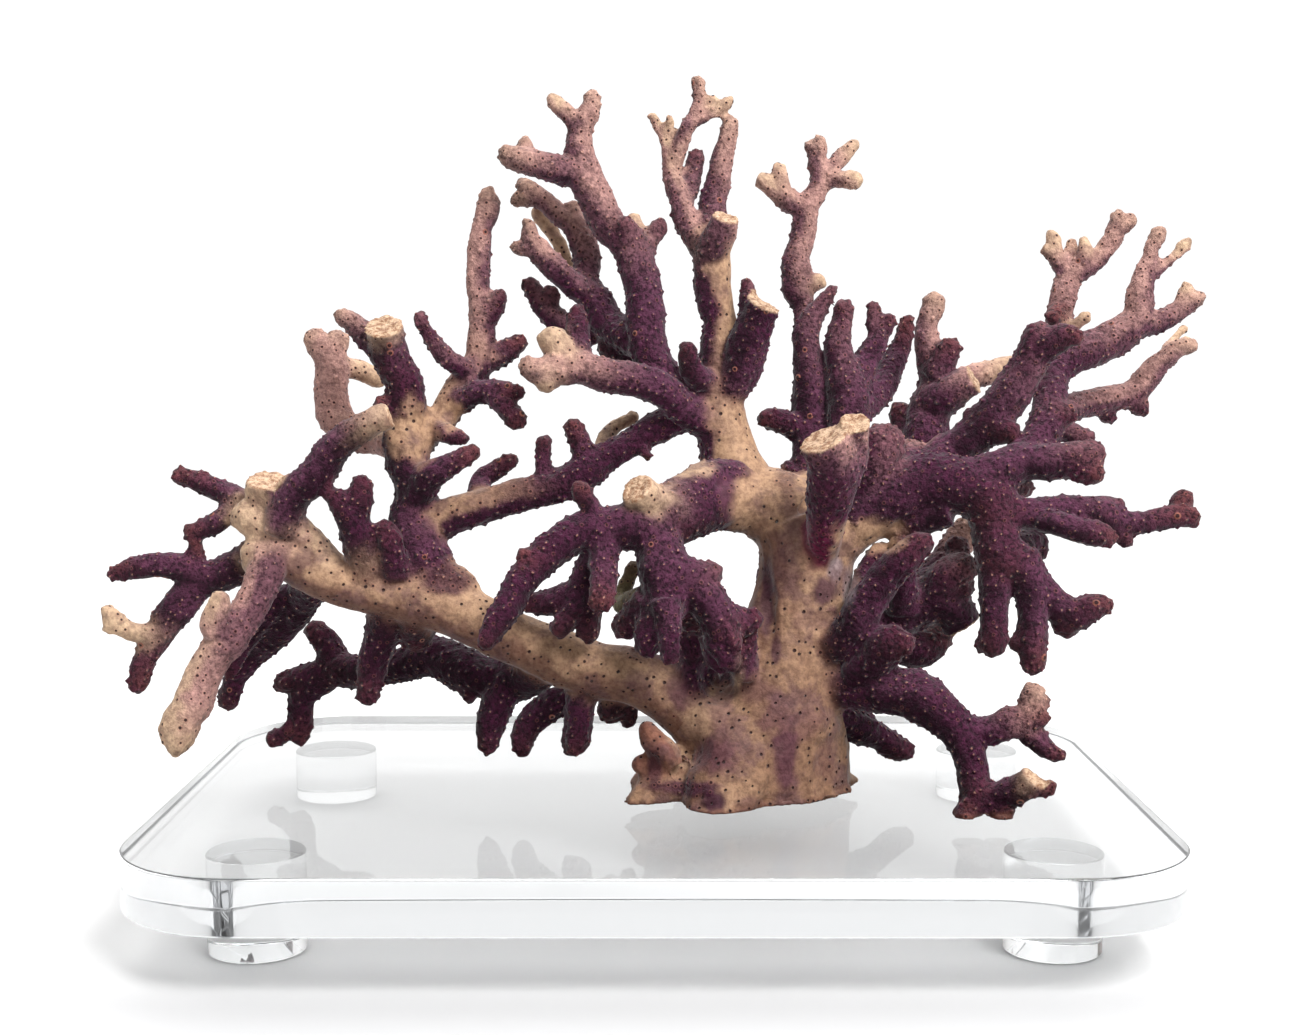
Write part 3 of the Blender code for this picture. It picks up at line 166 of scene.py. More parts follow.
LIMBS = {
    "trunk": [
        root(Coat.EARTH_AND_SHADE_TO_TAN, (25, -86, 3, 23), (25, -70, 2, 22.5), (26, -58, 0, 21.5),
            (28.5, -46, -3, 19), (31, -36, -5, 15), (33.5, -26, -6, 12.8), (36, -16, -7, 12),
            (36, -6, -7, 12.4), (33, 1, -7, 11.5)),
        tip(Coat.TAN, (36, -8, -7, 11), (44, -2, -9, 10)),
        tip(Coat.TAN, (33, 0, -6, 11), (25, 5, -5, 10)),
        tip(Coat.TAN, (34, 0, -5, 8), (35.6, 7, -4, 3.6), (36.6, 11, -4, 1.8)),
        tip(Coat.TAN, (20, -56, -6, 15), (12, -49, -8, 12)),
        tip(Coat.SAND, (12, -66, -8, 13), (3, -66, -8, 8.5), (-3, -66.5, -9, 5.5), (-5.5, -68, -10, 3.2)),
        root(Coat.EARTH_AND_SHADE_TO_TAN, (21, -54, -9, 13), (17, -64, -15, 11.5), (13.5, -78, -22, 8)),
        root(Coat.EARTH_AND_SHADE_TO_TAN, (1, -66, -12, 7), (-3.5, -69, -15, 4.6), (-7.5, -73, -18, 2.2)),
        tip(Coat.TAN, (38, -64, 3, 9), (45, -65.5, 4, 4.5), (47.5, -65.5, 5, 2)),
        tip(Coat.BROWN, (1, -62, -12, 6), (-5.5, -61, -13, 3)),
        tip(Coat.BROWN, (2, -60, -14, 4), (-2, -55, -15, 3.5), (-4, -51.5, -14, 2.4)),
        tip(Coat.BROWN, (2, -60, -15, 4), (0.5, -57, -18, 2.6)),
        tip(Coat.PURPLE, (21, -40, -17, 3.4), (20.5, -33, -18, 3.2), (22, -28, -19, 2.8)),
    ],
    "left_limb": [
        tip(Coat.TAN, (14, -50, -8, 12), (8, -46.5, -8, 10), (1, -43, -9, 8), (-5, -40, -10, 7.4),
            (-10, -38.6, -10, 7.2), (-16.7, -37.5, -10, 7), (-25.6, -34.4, -10, 7),
            (-34.6, -30.4, -10, 6.6), (-43.6, -26.2, -10, 7.2), (-53.5, -21.5, -10, 7.3),
            (-60, -19.5, -10, 7), (-66, -18.7, -10, 6.4), (-75, -16.9, -11, 5.7),
            (-84.4, -13.8, -12, 6.1), (-91.2, -9.7, -12, 6), (-97, -4.5, -13, 5.6)),
        tip(Coat.CREAM, (-97, -4, -13, 5), (-100.5, -1, -13, 5), (-103.8, 1.2, -13, 5)),
        tip(Coat.CREAM, (-96, -8, -14, 5), (-101.9, -8.8, -15, 4.5), (-103.3, -12, -16, 2.5)),
        stump(Coat.CREAM, (-96, -5, -13, 5.5), (-98, 3, -12, 5.2), (-98.2, 10.2, -15, 5.6)),
        tip(Coat.PURPLE_TO_RUST, (-101, 1, -9, 3.6), (-106, 5.5, -8, 3.5), (-112, 8, -7, 3.2),
            (-117, 10, -7, 2.9), (-121, 11, -7, 2.5)),
        tip(Coat.RUST, (-112, 8, -7, 2.6), (-115.5, 11.5, -7, 2)),
        tip(Coat.PURPLE_TO_RUST, (-101, 0, -9, 3.2), (-106, 3.5, -8, 3.2), (-109.6, 1, -9, 3),
            (-113, -1.5, -9, 2.8), (-118, -3.3, -9, 2.4)),
        stump(Coat.PURPLE_TO_CREAM, (-95, -3, -15, 5.4), (-92.5, 5.8, -17, 5), (-87.5, 10, -19, 4.8),
            (-84.2, 14.2, -20, 4.6), (-81.7, 17.9, -21, 4.2), (-77.5, 21.3, -22, 3.8),
            (-72.1, 24.6, -23, 3.5), (-67.6, 26.2, -23, 3)),
        tip(Coat.PLUM, (-73.5, -13, -13, 4.5), (-76, -4, -17, 4.4), (-77.5, 0, -18, 4.4),
            (-79.5, 3.5, -19, 3.8), (-82.3, 6.3, -20, 2.8)),
        tip(Coat.PLUM, (-76.7, 0, -18, 4), (-75.4, 5.8, -18, 3.6), (-74.8, 9.6, -18, 3)),
        tip(Coat.PLUM, (-66, -14, -13, 4), (-68, -6, -16, 4), (-69.6, -2.2, -17, 3.7)),
        tip(Coat.PLUM_TO_RUST, (-68, -19, -9, 5), (-69, -26, -6, 4.5), (-71.5, -34, -4, 4),
            (-73, -41, -3, 3.3), (-73.3, -44.5, -3, 2.9)),
        tip(Coat.PLUM, (-19, -38, -6, 4), (-22, -44.3, -4, 3.2), (-26.5, -46.1, -3, 3.6),
            (-31.9, -49.7, -2, 3.3), (-34.6, -54.2, -2, 2.7), (-34.8, -57, -2, 2.1)),
        tip(Coat.PLUM, (-17, -38, -9, 5), (-19.8, -44, -9, 4), (-20.3, -49.7, -10, 3),
            (-21.2, -54.6, -10, 2.8), (-21.6, -57.5, -10, 2.1)),
        tip(Coat.PLUM, (-8, -40, -6, 4), (-13, -48.2, -3, 3.4)),
        tip(Coat.PLUM, (-7, -41, -5, 3), (-8.3, -50.5, -2, 2.1)),
        tip(Coat.STEM, (-58, -20, -9, 7), (-52.5, -16.4, -9, 5.8), (-48, -20.5, -9, 5)),
        tip(Coat.SAND, (-84, -12, -12, 5.6), (-87.5, -5.5, -13, 3.6), (-91, -3, -14, 4.4)),
        tip(Coat.TAN, (-74, -14, -12, 5), (-74.5, -8, -15, 4.4)),
        tip(Coat.PLUM, (-61, -22, -8, 6), (-61.5, -29.5, -3, 4.4)),
        tip(Coat.PURPLE, (8, -41, -11, 6), (9, -34.5, -12, 5.6), (7, -29, -15, 4.4)),
    ],
    "far_left_pale_branch": [
        tip(Coat.ROSE_TO_CREAM, (-95, -5.5, -13, 5), (-99, -12.5, -18, 4.8), (-102.8, -21.4, -22, 4.3),
            (-106.9, -28.1, -25, 4.2), (-112.7, -34.9, -27, 4.2), (-116.3, -42.9, -29, 4),
            (-118.1, -47, -30, 4.2), (-121.7, -50.6, -31, 3.4), (-123.5, -53.7, -31, 2.8)),
        tip(Coat.CREAM, (-119, -49, -31, 3.4), (-121.4, -56.9, -32, 2.7)),
        tip(Coat.ROSE_TO_CREAM, (-108.5, -30, -26, 3.6), (-111.4, -25.9, -28, 3.6),
            (-110.2, -19.5, -29, 2.4)),
    ],
    "far_left_branch": [
        tip(Coat.PURPLE_TO_RUST, (-97, -6, -12, 4.6), (-104, -10.5, -7, 4.4), (-110.9, -13.8, -6, 4.4),
            (-116.3, -16, -6, 4.5), (-119.9, -20.5, -6, 4.5), (-123.9, -25.4, -6, 4),
            (-127, -30.4, -6, 3.6), (-129.3, -35.3, -6, 3.2), (-131.1, -41.5, -6, 2.8)),
        tip(Coat.CREAM, (-125, -27, -6, 2.8), (-128.4, -28.4, -8, 2.7), (-132.9, -27.7, -9, 2.7),
            (-136, -25.9, -10, 2.9), (-138.6, -22.6, -10, 2.5)),
        tip(Coat.CREAM, (-135, -26.2, -10, 2.6), (-138.8, -27, -11, 2.2)),
        tip(Coat.PURPLE_TO_RUST, (-114, -14.5, -7, 3.8), (-117.2, -12.8, -8, 3.8),
            (-121.2, -11.5, -9, 3.8), (-126.2, -11.3, -10, 3.4), (-131.5, -12, -10, 3.2),
            (-137.2, -13.5, -10, 2.4)),
        tip(Coat.RUST, (-116.5, -12, -8, 2.6), (-116.5, -5.5, -9, 2)),
    ],
    "left_back_branch": [
        tip(Coat.PLUM, (-86, -13, -10, 4.8), (-89.5, -19, 1, 4.8), (-96.5, -27.2, 7, 4.8),
            (-101.9, -33, 10, 4), (-106, -38.9, 12, 3.2), (-108.2, -45.6, 13, 2.8)),
        tip(Coat.PLUM, (-89.5, -18, 1, 3.6), (-97, -21.5, 0, 3.2), (-103.5, -29.5, 2, 2.7),
            (-108.3, -38.5, 2, 2.1)),
    ],
    "lower_left_branch": [
        tip(Coat.PLUM, (-28, -34, -9, 5), (-35, -39.5, 1, 5), (-43.6, -39.2, 4, 5),
            (-49.9, -37.1, 6, 5.8), (-57, -33.8, 9, 4.9), (-66, -36.7, 12, 4.5), (-74, -38, 15, 4.2),
            (-82.2, -37.1, 18, 4)),
        tip(Coat.PLUM, (-49, -38, 5, 4), (-48, -44.5, 4, 1.9)),
        tip(Coat.PLUM, (-82, -37, 18, 4), (-83.5, -31.7, 18, 3.2), (-87.1, -27.2, 18, 2.8)),
        tip(Coat.PLUM, (-83, -38, 18, 3.8), (-91.2, -39.8, 18, 3.2), (-95.2, -40.7, 18, 2.6)),
        tip(Coat.PLUM_TO_RUST, (-83, -38, 18, 3.8), (-89.4, -43.8, 19, 3.3), (-90.3, -49.7, 20, 3.2),
            (-90.7, -54.2, 20, 2.4)),
        tip(Coat.PLUM, (-90, -48, 20, 2.6), (-93, -52.5, 20, 2.3), (-97.4, -55, 21, 2.1)),
        tip(Coat.PLUM, (-36, -38, 1, 4.6), (-39.1, -41.5, 1, 4.2), (-41.8, -47.4, 0, 3.6),
            (-43.1, -52.8, 0, 3.2), (-43.4, -57, 0, 2.3)),
    ],
    "left_stem": [
        tip(Coat.PURPLE, (-56, -20, -10, 6), (-58.2, -12.5, -8, 7), (-60.8, -6, -7, 6.8),
            (-62.6, -0.4, -6, 5.9), (-61.6, 5.8, -6, 5.5), (-62.1, 10, -6, 5.8), (-63.8, 14.2, -6, 5.8),
            (-64.2, 20.4, -6, 6), (-63.8, 24.6, -6, 5.4), (-63.3, 30, -7, 5.2), (-64.6, 35, -8, 5.3),
            (-67, 39, -9, 5.2)),
        stump(Coat.PURPLE_TO_CREAM, (-66, 38, -9, 5), (-68.5, 43, -11, 5), (-69.6, 48.6, -15, 5.2)),
        tip(Coat.PURPLE_TO_ROSE, (-69, 42, -9, 4.2), (-73.3, 45.4, -8, 3.9), (-76.7, 48.8, -8, 3.2),
            (-80.4, 51.3, -8, 2.3)),
        tip(Coat.RUST, (-66, 28, -7, 3), (-70.6, 29.4, -10, 2.5)),
        tip(Coat.PURPLE_TO_RUST, (-61, 7, -8, 4.6), (-58.3, 10.8, -11, 4.2), (-53.3, 13.3, -13, 3.2),
            (-49.2, 15.8, -14, 2.4), (-46.7, 17.1, -14, 1.9)),
    ],
    "left_stem_fork": [
        tip(Coat.STEM_TO_ROSE, (-63, 17, -6, 4.4), (-58.3, 22.5, -3, 4.4), (-55, 25.4, -2, 4.4),
            (-51.7, 30.8, -1, 4.3), (-48.3, 35.8, 0, 4.3), (-45.8, 40, 0, 4), (-45.4, 44.2, 0, 3.6),
            (-45, 49.6, 0, 3.7), (-45, 54.6, 0, 3.4), (-45.8, 58, 0, 2.9), (-45.8, 63, 0, 2.8),
            (-45.3, 68, 0, 2.8), (-44.8, 73, 0, 2.4), (-43.5, 77.8, 0, 2.8), (-43.2, 82, 0, 1.9)),
        tip(Coat.MAUVE, (-45, 49, 0, 3), (-42, 52.5, -1, 2.7), (-40.5, 56.4, -2, 2.1)),
        tip(Coat.MAUVE, (-47.5, 36, -2, 3.4), (-49.6, 37.9, -4, 3.2), (-53.3, 40, -6, 2.9),
            (-57.1, 44.2, -7, 2.5), (-59.6, 48.3, -8, 2.2), (-60.8, 51, -8, 2)),
        tip(Coat.PURPLE_TO_RUST, (-45.5, 38.5, 0, 3.4), (-39.6, 41.7, 1, 2.8), (-35.6, 44.2, 1, 2.5)),
        tip(Coat.PURPLE_TO_RUST, (-51, 29, -3, 3.6), (-47.1, 31.7, -5, 3.4), (-41.7, 32.5, -7, 2.9),
            (-35.6, 31.7, -8, 2.3)),
        tip(Coat.PURPLE, (-42, 31, -7, 2.8), (-39.6, 28.6, -8, 2.9), (-36, 24.8, -9, 2.9)),
        tip(Coat.MAUVE, (-56, 23, -5, 3.2), (-52.5, 21.3, -8, 2.9), (-49.2, 20.4, -9, 1.6)),
    ],
    "left_stem_side": [
        tip(Coat.SAND_TO_ROSE, (-64, 17, -4, 4.6), (-70, 20, 5, 4), (-76, 20.5, 8, 3.9),
            (-79.5, 23.5, 9, 4), (-81.7, 27, 10, 4.1), (-82.5, 31, 10, 3.9), (-82.5, 35, 10, 3.9),
            (-82.9, 40.8, 10, 3.8), (-87.3, 45.8, 10, 2.2)),
        tip(Coat.ROSE, (-82.9, 40, 10, 3.2), (-80.8, 45.2, 10, 2.6)),
        tip(Coat.CREAM, (-81, 38.5, 12, 2.6), (-76, 37.5, 15, 2.4), (-70.4, 35.4, 16, 2.2)),
    ],
    "inner_left_branch": [
        tip(Coat.STEM_TO_PURPLE, (-61, -4, -6, 4.8), (-53.3, 0.8, -6, 4.9), (-48.3, 2.1, -7, 4.6),
            (-40.8, 4.6, -8, 4.5), (-36, 6.1, -8, 4.5), (-29.3, 7.4, -8, 4.5), (-23.5, 9.7, -8, 4.6),
            (-18.1, 12.4, -8, 4.8), (-13.6, 16, -7, 4.2), (-7.8, 19.1, -6, 3.8), (-2.4, 22.2, -6, 3.8),
            (3, 25, -6, 4), (11, 27.5, -5, 4)),
        tip(Coat.PURPLE_TO_RUST, (-18, 13, -8, 3.6), (-20.2, 19.1, -8, 3.3), (-22.3, 24, -9, 2.6)),
        tip(Coat.PURPLE, (-29.5, 8, -8, 3), (-29.5, 13, -8, 2.4), (-29.5, 19.8, -8, 2)),
        tip(Coat.PURPLE, (-6, 20, -7, 2.4), (-3.3, 15.8, -9, 1.5)),
        tip(Coat.PURPLE_TO_RUST, (-44, 4, -6, 3.2), (-45.4, 9.5, -1, 2.6), (-41.5, 12.5, 0, 2.5),
            (-37.4, 15.2, 0, 2.3)),
        tip(Coat.CREAM, (-17, 14, -6, 3), (-13, 22, 2, 2.2), (-6.5, 26, 4, 1.9)),
    ],
    "centre_stem": [
        tip(Coat.STEM, (30, 2, -6, 8.6), (22, 6.5, -5, 8.6), (18.3, 12, -4, 7.8), (16.5, 18, -3, 7.2),
            (15, 25, -3, 6.8), (14.5, 30, -3, 6.2), (14.5, 36, -3, 5.2), (14.4, 45, -3, 4.1),
            (14.6, 50, -3, 4), (13.7, 53.3, -3, 4.5), (13, 58.5, -3, 4.9), (12.6, 64, -3, 5.2),
            (12.4, 68.7, -3, 5)),
        stump(Coat.STEM_TO_ROSE, (12.5, 66, -4, 4.6), (15, 72, -8, 3.9), (16.2, 76, -10, 3.7)),
        tip(Coat.ROSE_TO_CREAM, (10.5, 68, -2, 4), (6.3, 74.9, -1, 3.3), (4.7, 80, 0, 3),
            (2.7, 86, 1, 2.6), (2.3, 90, 1, 2.4), (1.7, 93.3, 1, 2.2), (0.1, 96.9, 2, 2),
            (-2.4, 101, 3, 1.8)),
        tip(Coat.CREAM, (1.5, 95.5, 1, 1.7), (2, 100.5, 0, 1.5)),
        tip(Coat.ROSE, (3, 88.5, 1, 2.4), (5.8, 96.9, -1, 2.3), (8.6, 101, -1, 2.3), (9.4, 105.1, -1, 2),
            (9.1, 110, -1, 2.3)),
        tip(Coat.ROSE_TO_CREAM, (8.4, 100, -1, 2.2), (12.9, 102, -1, 2), (17.1, 104.8, -1, 1.8)),
        tip(Coat.CREAM, (12.4, 102, -1, 1.7), (13, 106.2, -1, 1.2)),
        tip(Coat.MAUVE, (5, 79, 1, 2.7), (6.8, 84.1, 4, 2.6), (8.6, 91.3, 6, 2.5)),
        tip(Coat.MAUVE_TO_ROSE, (12.6, 70, -2, 4), (12.9, 79, 1, 3.2), (14, 84.1, 1, 2.8),
            (15.5, 91.3, 0, 2.7), (16.8, 96.4, 0, 2.7), (17.3, 99.5, 0, 2.6)),
        tip(Coat.PURPLE, (12, 34, -6, 3.2), (8.8, 36, -10, 2.9), (6.8, 40, -12, 2.3), (6.5, 43, -13, 1.9)),
        stump(Coat.PURPLE, (16, 31, -4, 5), (19.8, 38, -6, 5.2), (23.2, 48.2, -9, 4.5),
            (25.8, 54, -11, 4.1)),
        tip(Coat.MAUVE, (22, 50, -8, 3), (21.2, 59.5, -8, 2.1)),
    ],
    "upper_left_branch": [
        tip(Coat.PURPLE_TO_ROSE, (13, 26, -4, 4.6), (6, 30, -5, 4.9), (0, 36, -6, 4.6), (-3, 42, -6, 4.6),
            (-4, 48, -6, 4.5), (-4, 53.3, -6, 4.6), (-5.3, 61, -5, 5), (-8.5, 69, -4, 4.9),
            (-13.2, 73.8, -4, 4.5), (-16.3, 80, -4, 4.5), (-18.8, 85.1, -4, 4.2), (-20.4, 90.3, -4, 3.6),
            (-20.6, 95.9, -4, 3.2), (-19.4, 99.5, -5, 3), (-17.3, 104.1, -5, 2.7),
            (-17.8, 106.4, -5, 2.3)),
        tip(Coat.MAUVE, (-7, 68, -5, 4), (-9.1, 74.4, -8, 2.6)),
        tip(Coat.CREAM, (-6, 70, -2, 3), (-7, 75.4, 1, 2)),
        tip(Coat.MAUVE, (-5, 64, -4, 3), (-2.9, 70.3, -2, 2.3), (0.1, 73.8, -1, 2)),
        tip(Coat.ROSE_TO_CREAM, (-20, 97, -5, 2.6), (-22.9, 101, -5, 2.2), (-26, 104.1, -6, 1.9),
            (-27.3, 105.6, -6, 1.6)),
        tip(Coat.MAUVE_TO_ROSE, (-19, 87, -4, 3.9), (-24.5, 87.2, -6, 3.6), (-29.6, 88.2, -8, 3.3),
            (-34.7, 89.7, -9, 3.2), (-38.8, 90.8, -10, 2.7)),
        tip(Coat.ROSE, (-33, 90.5, -6, 2), (-34.2, 94, -4, 1.7)),
    ],
    "upper_left_fork": [
        tip(Coat.PURPLE_TO_ROSE, (-4, 44, -5, 4), (-12.2, 48.2, 2, 4.2), (-16.3, 54.9, 4, 4.2),
            (-19.4, 59.5, 5, 3.8), (-18.5, 63.6, 6, 3.6), (-19.4, 68.7, 7, 3.5), (-21.9, 73.8, 7, 3),
            (-26, 76.6, 8, 2.3), (-30.1, 80.5, 8, 2.3), (-34.2, 83.6, 8, 2)),
        tip(Coat.ROSE, (-21.9, 73, 7, 2.5), (-22.4, 78.2, 7, 1.6)),
        tip(Coat.ROSE, (-31, 80.5, 8, 1.8), (-36.3, 80.3, 8, 1.7)),
        tip(Coat.MAUVE_TO_ROSE, (-18, 56.5, 4, 3.6), (-21.4, 58.5, 2, 3.5), (-25.5, 62.1, 0, 3.2),
            (-30.1, 66.7, -1, 2.9), (-32.7, 70.3, -2, 2.4), (-33.5, 74.4, -2, 1.9)),
        tip(Coat.ROSE, (-31, 68, -1, 2.2), (-36.8, 68.2, -1, 1.8)),
        tip(Coat.MAUVE, (-14, 48.5, 4, 3), (-19, 46.5, 7, 2.7), (-25, 49.2, 8, 2.8),
            (-29.1, 52.8, 8, 2.6), (-33.2, 59, 8, 2)),
        tip(Coat.MAUVE, (-28.5, 53, 8, 2.2), (-27.3, 57.2, 7, 2)),
        tip(Coat.CREAM, (-19, 57, 6, 2.4), (-23, 60, 12, 1.8), (-25, 68, 13, 1.8), (-31, 77, 13, 1.6)),
        tip(Coat.PURPLE, (-6, 44, -1, 3), (-9, 41, 1, 2.8), (-14, 43.5, 3, 2.6)),
    ],
    "middle_left_branch": [
        tip(Coat.PURPLE_TO_ROSE, (12, 24, -5, 4.4), (5, 28, -9, 4.4), (-0.1, 32.5, -12, 4.3),
            (-6.9, 34.8, -13, 4.3), (-13.6, 35.7, -13, 4.3), (-19.9, 37.6, -14, 4.2),
            (-25, 37.4, -15, 4.2), (-30.2, 37, -16, 3.9), (-34.2, 38.9, -17, 2.6)),
        tip(Coat.CREAM, (-27, 36, -16, 3.2), (-29.4, 34.4, -17, 2.9)),
        tip(Coat.CREAM, (-23, 39, -14, 3.6), (-28, 45.4, -14, 3.4)),
        tip(Coat.PURPLE, (-20.5, 39, -13, 3.3), (-21.2, 43.8, -11, 2.8), (-20.8, 48.3, -10, 2.6),
            (-21.2, 53, -9, 1.9)),
    ],
    "front_arm": [
        tip(Coat.PURPLE, (22, 8, -6, 6), (13.3, 9.6, -13, 5.6), (8, 8.2, -17, 5.4),
            (3, 4, -21, 6), (-1, 0, -23, 6.6), (-7, -1.5, -25, 6.2), (-12, -2, -26, 5.5),
            (-16.7, -2, -27, 5), (-22.1, -4, -28, 4.6), (-27.9, -7.9, -30, 4.5), (-32.4, -12.4, -32, 4),
            (-36, -16.9, -34, 3.7), (-38.2, -21.4, -36, 3.6), (-41.8, -26.3, -38, 3.3),
            (-44, -31.3, -39, 2.5)),
        tip(Coat.PURPLE, (23, 4, -7, 7.6), (14, 4.8, -13, 7), (7, 2, -18, 6.6), (1, -2, -22, 6)),
        stump(Coat.CREAM, (2, 3, -22, 5), (-3, 4.8, -26, 4.8), (-6.4, 8, -30, 4.3)),
        tip(Coat.RUST, (-31, -10, -32, 2.8), (-34.6, -8.6, -33, 2)),
        tip(Coat.PURPLE_TO_RUST, (-15, -2, -27, 3.2), (-17.1, 2.4, -28, 2.6), (-20.3, 7.8, -29, 2)),
        tip(Coat.PURPLE_TO_RUST, (-13.5, -3, -27, 4.6), (-14.5, -10, -29, 3.8), (-14.5, -15, -31, 3.6),
            (-15.2, -21, -33, 3.4)),
        tip(Coat.PURPLE, (-15, -6, -26, 3.8), (-20, -16, -23, 3.3), (-22, -22, -23, 2.8),
            (-25.6, -27.7, -23, 2.4)),
        tip(Coat.PURPLE, (-18, -12, -24, 3), (-17.5, -20, -22, 2.8), (-18.9, -28.6, -21, 2.5)),
        tip(Coat.PURPLE, (-20, -17.5, -22, 3.4), (-28, -20.6, -20, 3.4), (-34, -20.6, -19, 2.9)),
    ],
    "front_hand": [
        tip(Coat.PURPLE, (-1, -1, -23, 5.6), (0, -10, -26, 6.4), (1.5, -17, -27, 6.4), (0, -23, -28, 5.6),
            (-3, -28, -29, 4.4), (-3.5, -32.5, -29, 3.2)),
        tip(Coat.PURPLE_TO_RUST, (1, -21, -31, 4.4), (2, -29, -34, 3.4), (2.4, -34.5, -35, 2.8)),
        tip(Coat.PURPLE, (-3, -20, -27, 4), (-9, -27, -22, 3.4)),
        tip(Coat.PURPLE_TO_MAUVE, (2, -13, -27, 6), (9, -14.5, -26, 5), (13, -13, -25, 3.3)),
        tip(Coat.PURPLE_TO_RUST, (7, -15, -26, 5.4), (12, -21, -26, 5), (15.5, -27.5, -25, 4.4),
            (16.5, -31, -24, 3.6)),
        tip(Coat.PURPLE_TO_RUST, (14.5, -29, -24, 4.2), (15.5, -35.5, -24, 3.7)),
        tip(Coat.PURPLE, (15, -24, -24, 3.8), (20, -25.5, -22, 3.4), (23.4, -24.5, -21, 2.6)),
        tip(Coat.PURPLE, (3, -18, -24, 4.6), (8, -24.5, -20, 4)),
        tip(Coat.OLIVE, (-5, -19, -24, 2.6), (-10, -21, -16, 2.2), (-8.4, -15, -13, 1.8),
            (-6.6, -11.5, -13, 1.7)),
    ],
    "front_stump": [
        tip(Coat.MAGENTA, (40, -9, -15, 4.5), (41, -3, -21, 5.2), (41.5, 3.5, -25, 5.8),
            (43, 10, -29, 6.4)),
        stump(Coat.PURPLE_TO_ROSE, (42.5, 8, -28, 6.2), (43, 14, -31, 6.8), (40.4, 20.5, -34, 6.4)),
        stump(Coat.PURPLE_TO_ROSE, (44, 10, -29, 6), (46.5, 15.5, -29, 5.4), (48, 20.5, -30, 4.3),
            (48.5, 24.6, -33.5, 4)),
    ],
    "right_limb": [
        tip(Coat.PURPLE, (39, -6, -7, 8.6), (46, -1.5, -9, 8.6), (54, 4, -11, 7.8),
            (65, 9, -13, 7.2), (74, 8.5, -15, 7.2), (81, 6, -16, 7.6), (83.5, 1.5, -17, 7.4)),
        tip(Coat.PURPLE_TO_MAUVE, (78, 9, -15, 6.5), (85, 12, -16, 5.6), (90, 14.3, -16, 5),
            (95, 14.5, -17, 4.6), (100, 15, -17, 4.5), (105, 15.5, -18, 4.5), (108.4, 17, -18, 3.4)),
        tip(Coat.RUST, (104, 14, -18, 4), (108, 11.6, -19, 3.2)),
        tip(Coat.MAUVE, (51, 7, -12, 5.5), (54, 16, -14, 6.2), (55.5, 20.8, -13, 5.6)),
        tip(Coat.MAUVE, (86, 8, -12, 3), (91.5, 8, -6, 2.2)),
        tip(Coat.PURPLE, (72, 3, -15, 5.2), (65, 0.5, -13, 4.2), (58.5, -3.5, -11, 3.4)),
    ],
    "right_lower_branch": [
        tip(Coat.PURPLE_TO_RUST, (82, 3, -17, 5.6), (90, 2, -18, 4.4), (97, 2, -18, 3.9),
            (103, 1.8, -18, 3.9), (110, 1.3, -18, 3.7), (115, -0.7, -17, 3.2), (120, -0.8, -17, 2.9),
            (127, 0.3, -17, 2.8), (131, 0.9, -17, 2.6), (133.2, 0.4, -17, 2.2)),
        tip(Coat.RUST, (129, 1, -16, 2.4), (130.5, 5.3, -14, 2.4)),
        tip(Coat.PURPLE_TO_RUST, (95, 0.5, -20, 3.2), (99, -1, -23, 3), (104, -2.5, -24, 3.2),
            (109, -3.8, -24, 3.4), (112, -5, -24, 2.6)),
        tip(Coat.MAUVE, (107, 3, -18, 2.6), (114.5, 3.6, -17, 1.5)),
        tip(Coat.PURPLE_TO_RUST, (113, -2, -17, 3), (116.5, -5.5, -17, 2.1)),
    ],
    "right_hanging_branch": [
        tip(Coat.PURPLE, (83, 2, -17, 6), (84, -6, -18, 6.2), (86, -11, -18, 7)),
        tip(Coat.PURPLE, (84.5, -10, -18, 5.6), (83.3, -17, -19, 4.4), (82.8, -21.5, -19, 3.9),
            (83, -27, -20, 3.4), (82.7, -32, -20, 3.2)),
        tip(Coat.RUST, (81, -28, -19, 2.2), (79.4, -31.8, -18, 1.7)),
        tip(Coat.PURPLE_TO_RUST, (89, -10, -18, 6), (92.4, -17, -20, 4.6), (92.7, -24, -21, 3.6),
            (92.8, -30, -22, 3.5), (93, -36.5, -22, 3.1)),
        tip(Coat.PURPLE, (91, -29.5, -21, 2.5), (88.5, -31, -21, 1.9)),
        tip(Coat.PURPLE_TO_RUST, (92.5, -15, -19, 4.6), (98.5, -21, -19, 4.1), (103, -23.5, -19, 4),
            (107, -21.7, -20, 3.5), (111, -21, -20, 2.8)),
        tip(Coat.PURPLE, (101, -23, -18, 3.8), (101.5, -26.4, -18, 3.6)),
        tip(Coat.PURPLE, (88, -8, -14, 4), (92.5, -5, -8, 3.4), (94.5, -8, -6, 2.6)),
    ],
    "upper_right_branch": [
        tip(Coat.PURPLE_TO_MAUVE, (65, 10, -11, 4.8), (71, 16, -6, 4.8), (77, 20, -7, 4.8),
            (82, 25, -8, 5.3), (86, 30, -9, 5.2), (89.5, 35.5, -10, 5), (92.5, 40, -11, 4.7),
            (94, 44, -12, 4.3), (94.3, 47.4, -12, 3.6)),
        tip(Coat.PURPLE_TO_RUST, (94, 42, -12, 4.2), (98, 44.5, -14, 3.8), (101.5, 46, -16, 3.1),
            (104, 45.8, -17, 2.4)),
        tip(Coat.PURPLE, (80, 24, -7, 4), (76.8, 26, -7, 2)),
        tip(Coat.PURPLE, (83, 23, -9, 4.4), (87.5, 22, -13, 2.6)),
    ],
    "far_right_branch": [
        tip(Coat.PURPLE_TO_ROSE, (88, 12.5, -15, 4.6), (94.2, 19.5, -11, 4.8), (97, 26, -9, 4.7),
            (97.5, 31, -7, 4.3), (98.5, 36.5, -4, 4.2), (102, 40.4, -2, 4.6), (106, 42.3, -1, 4.9),
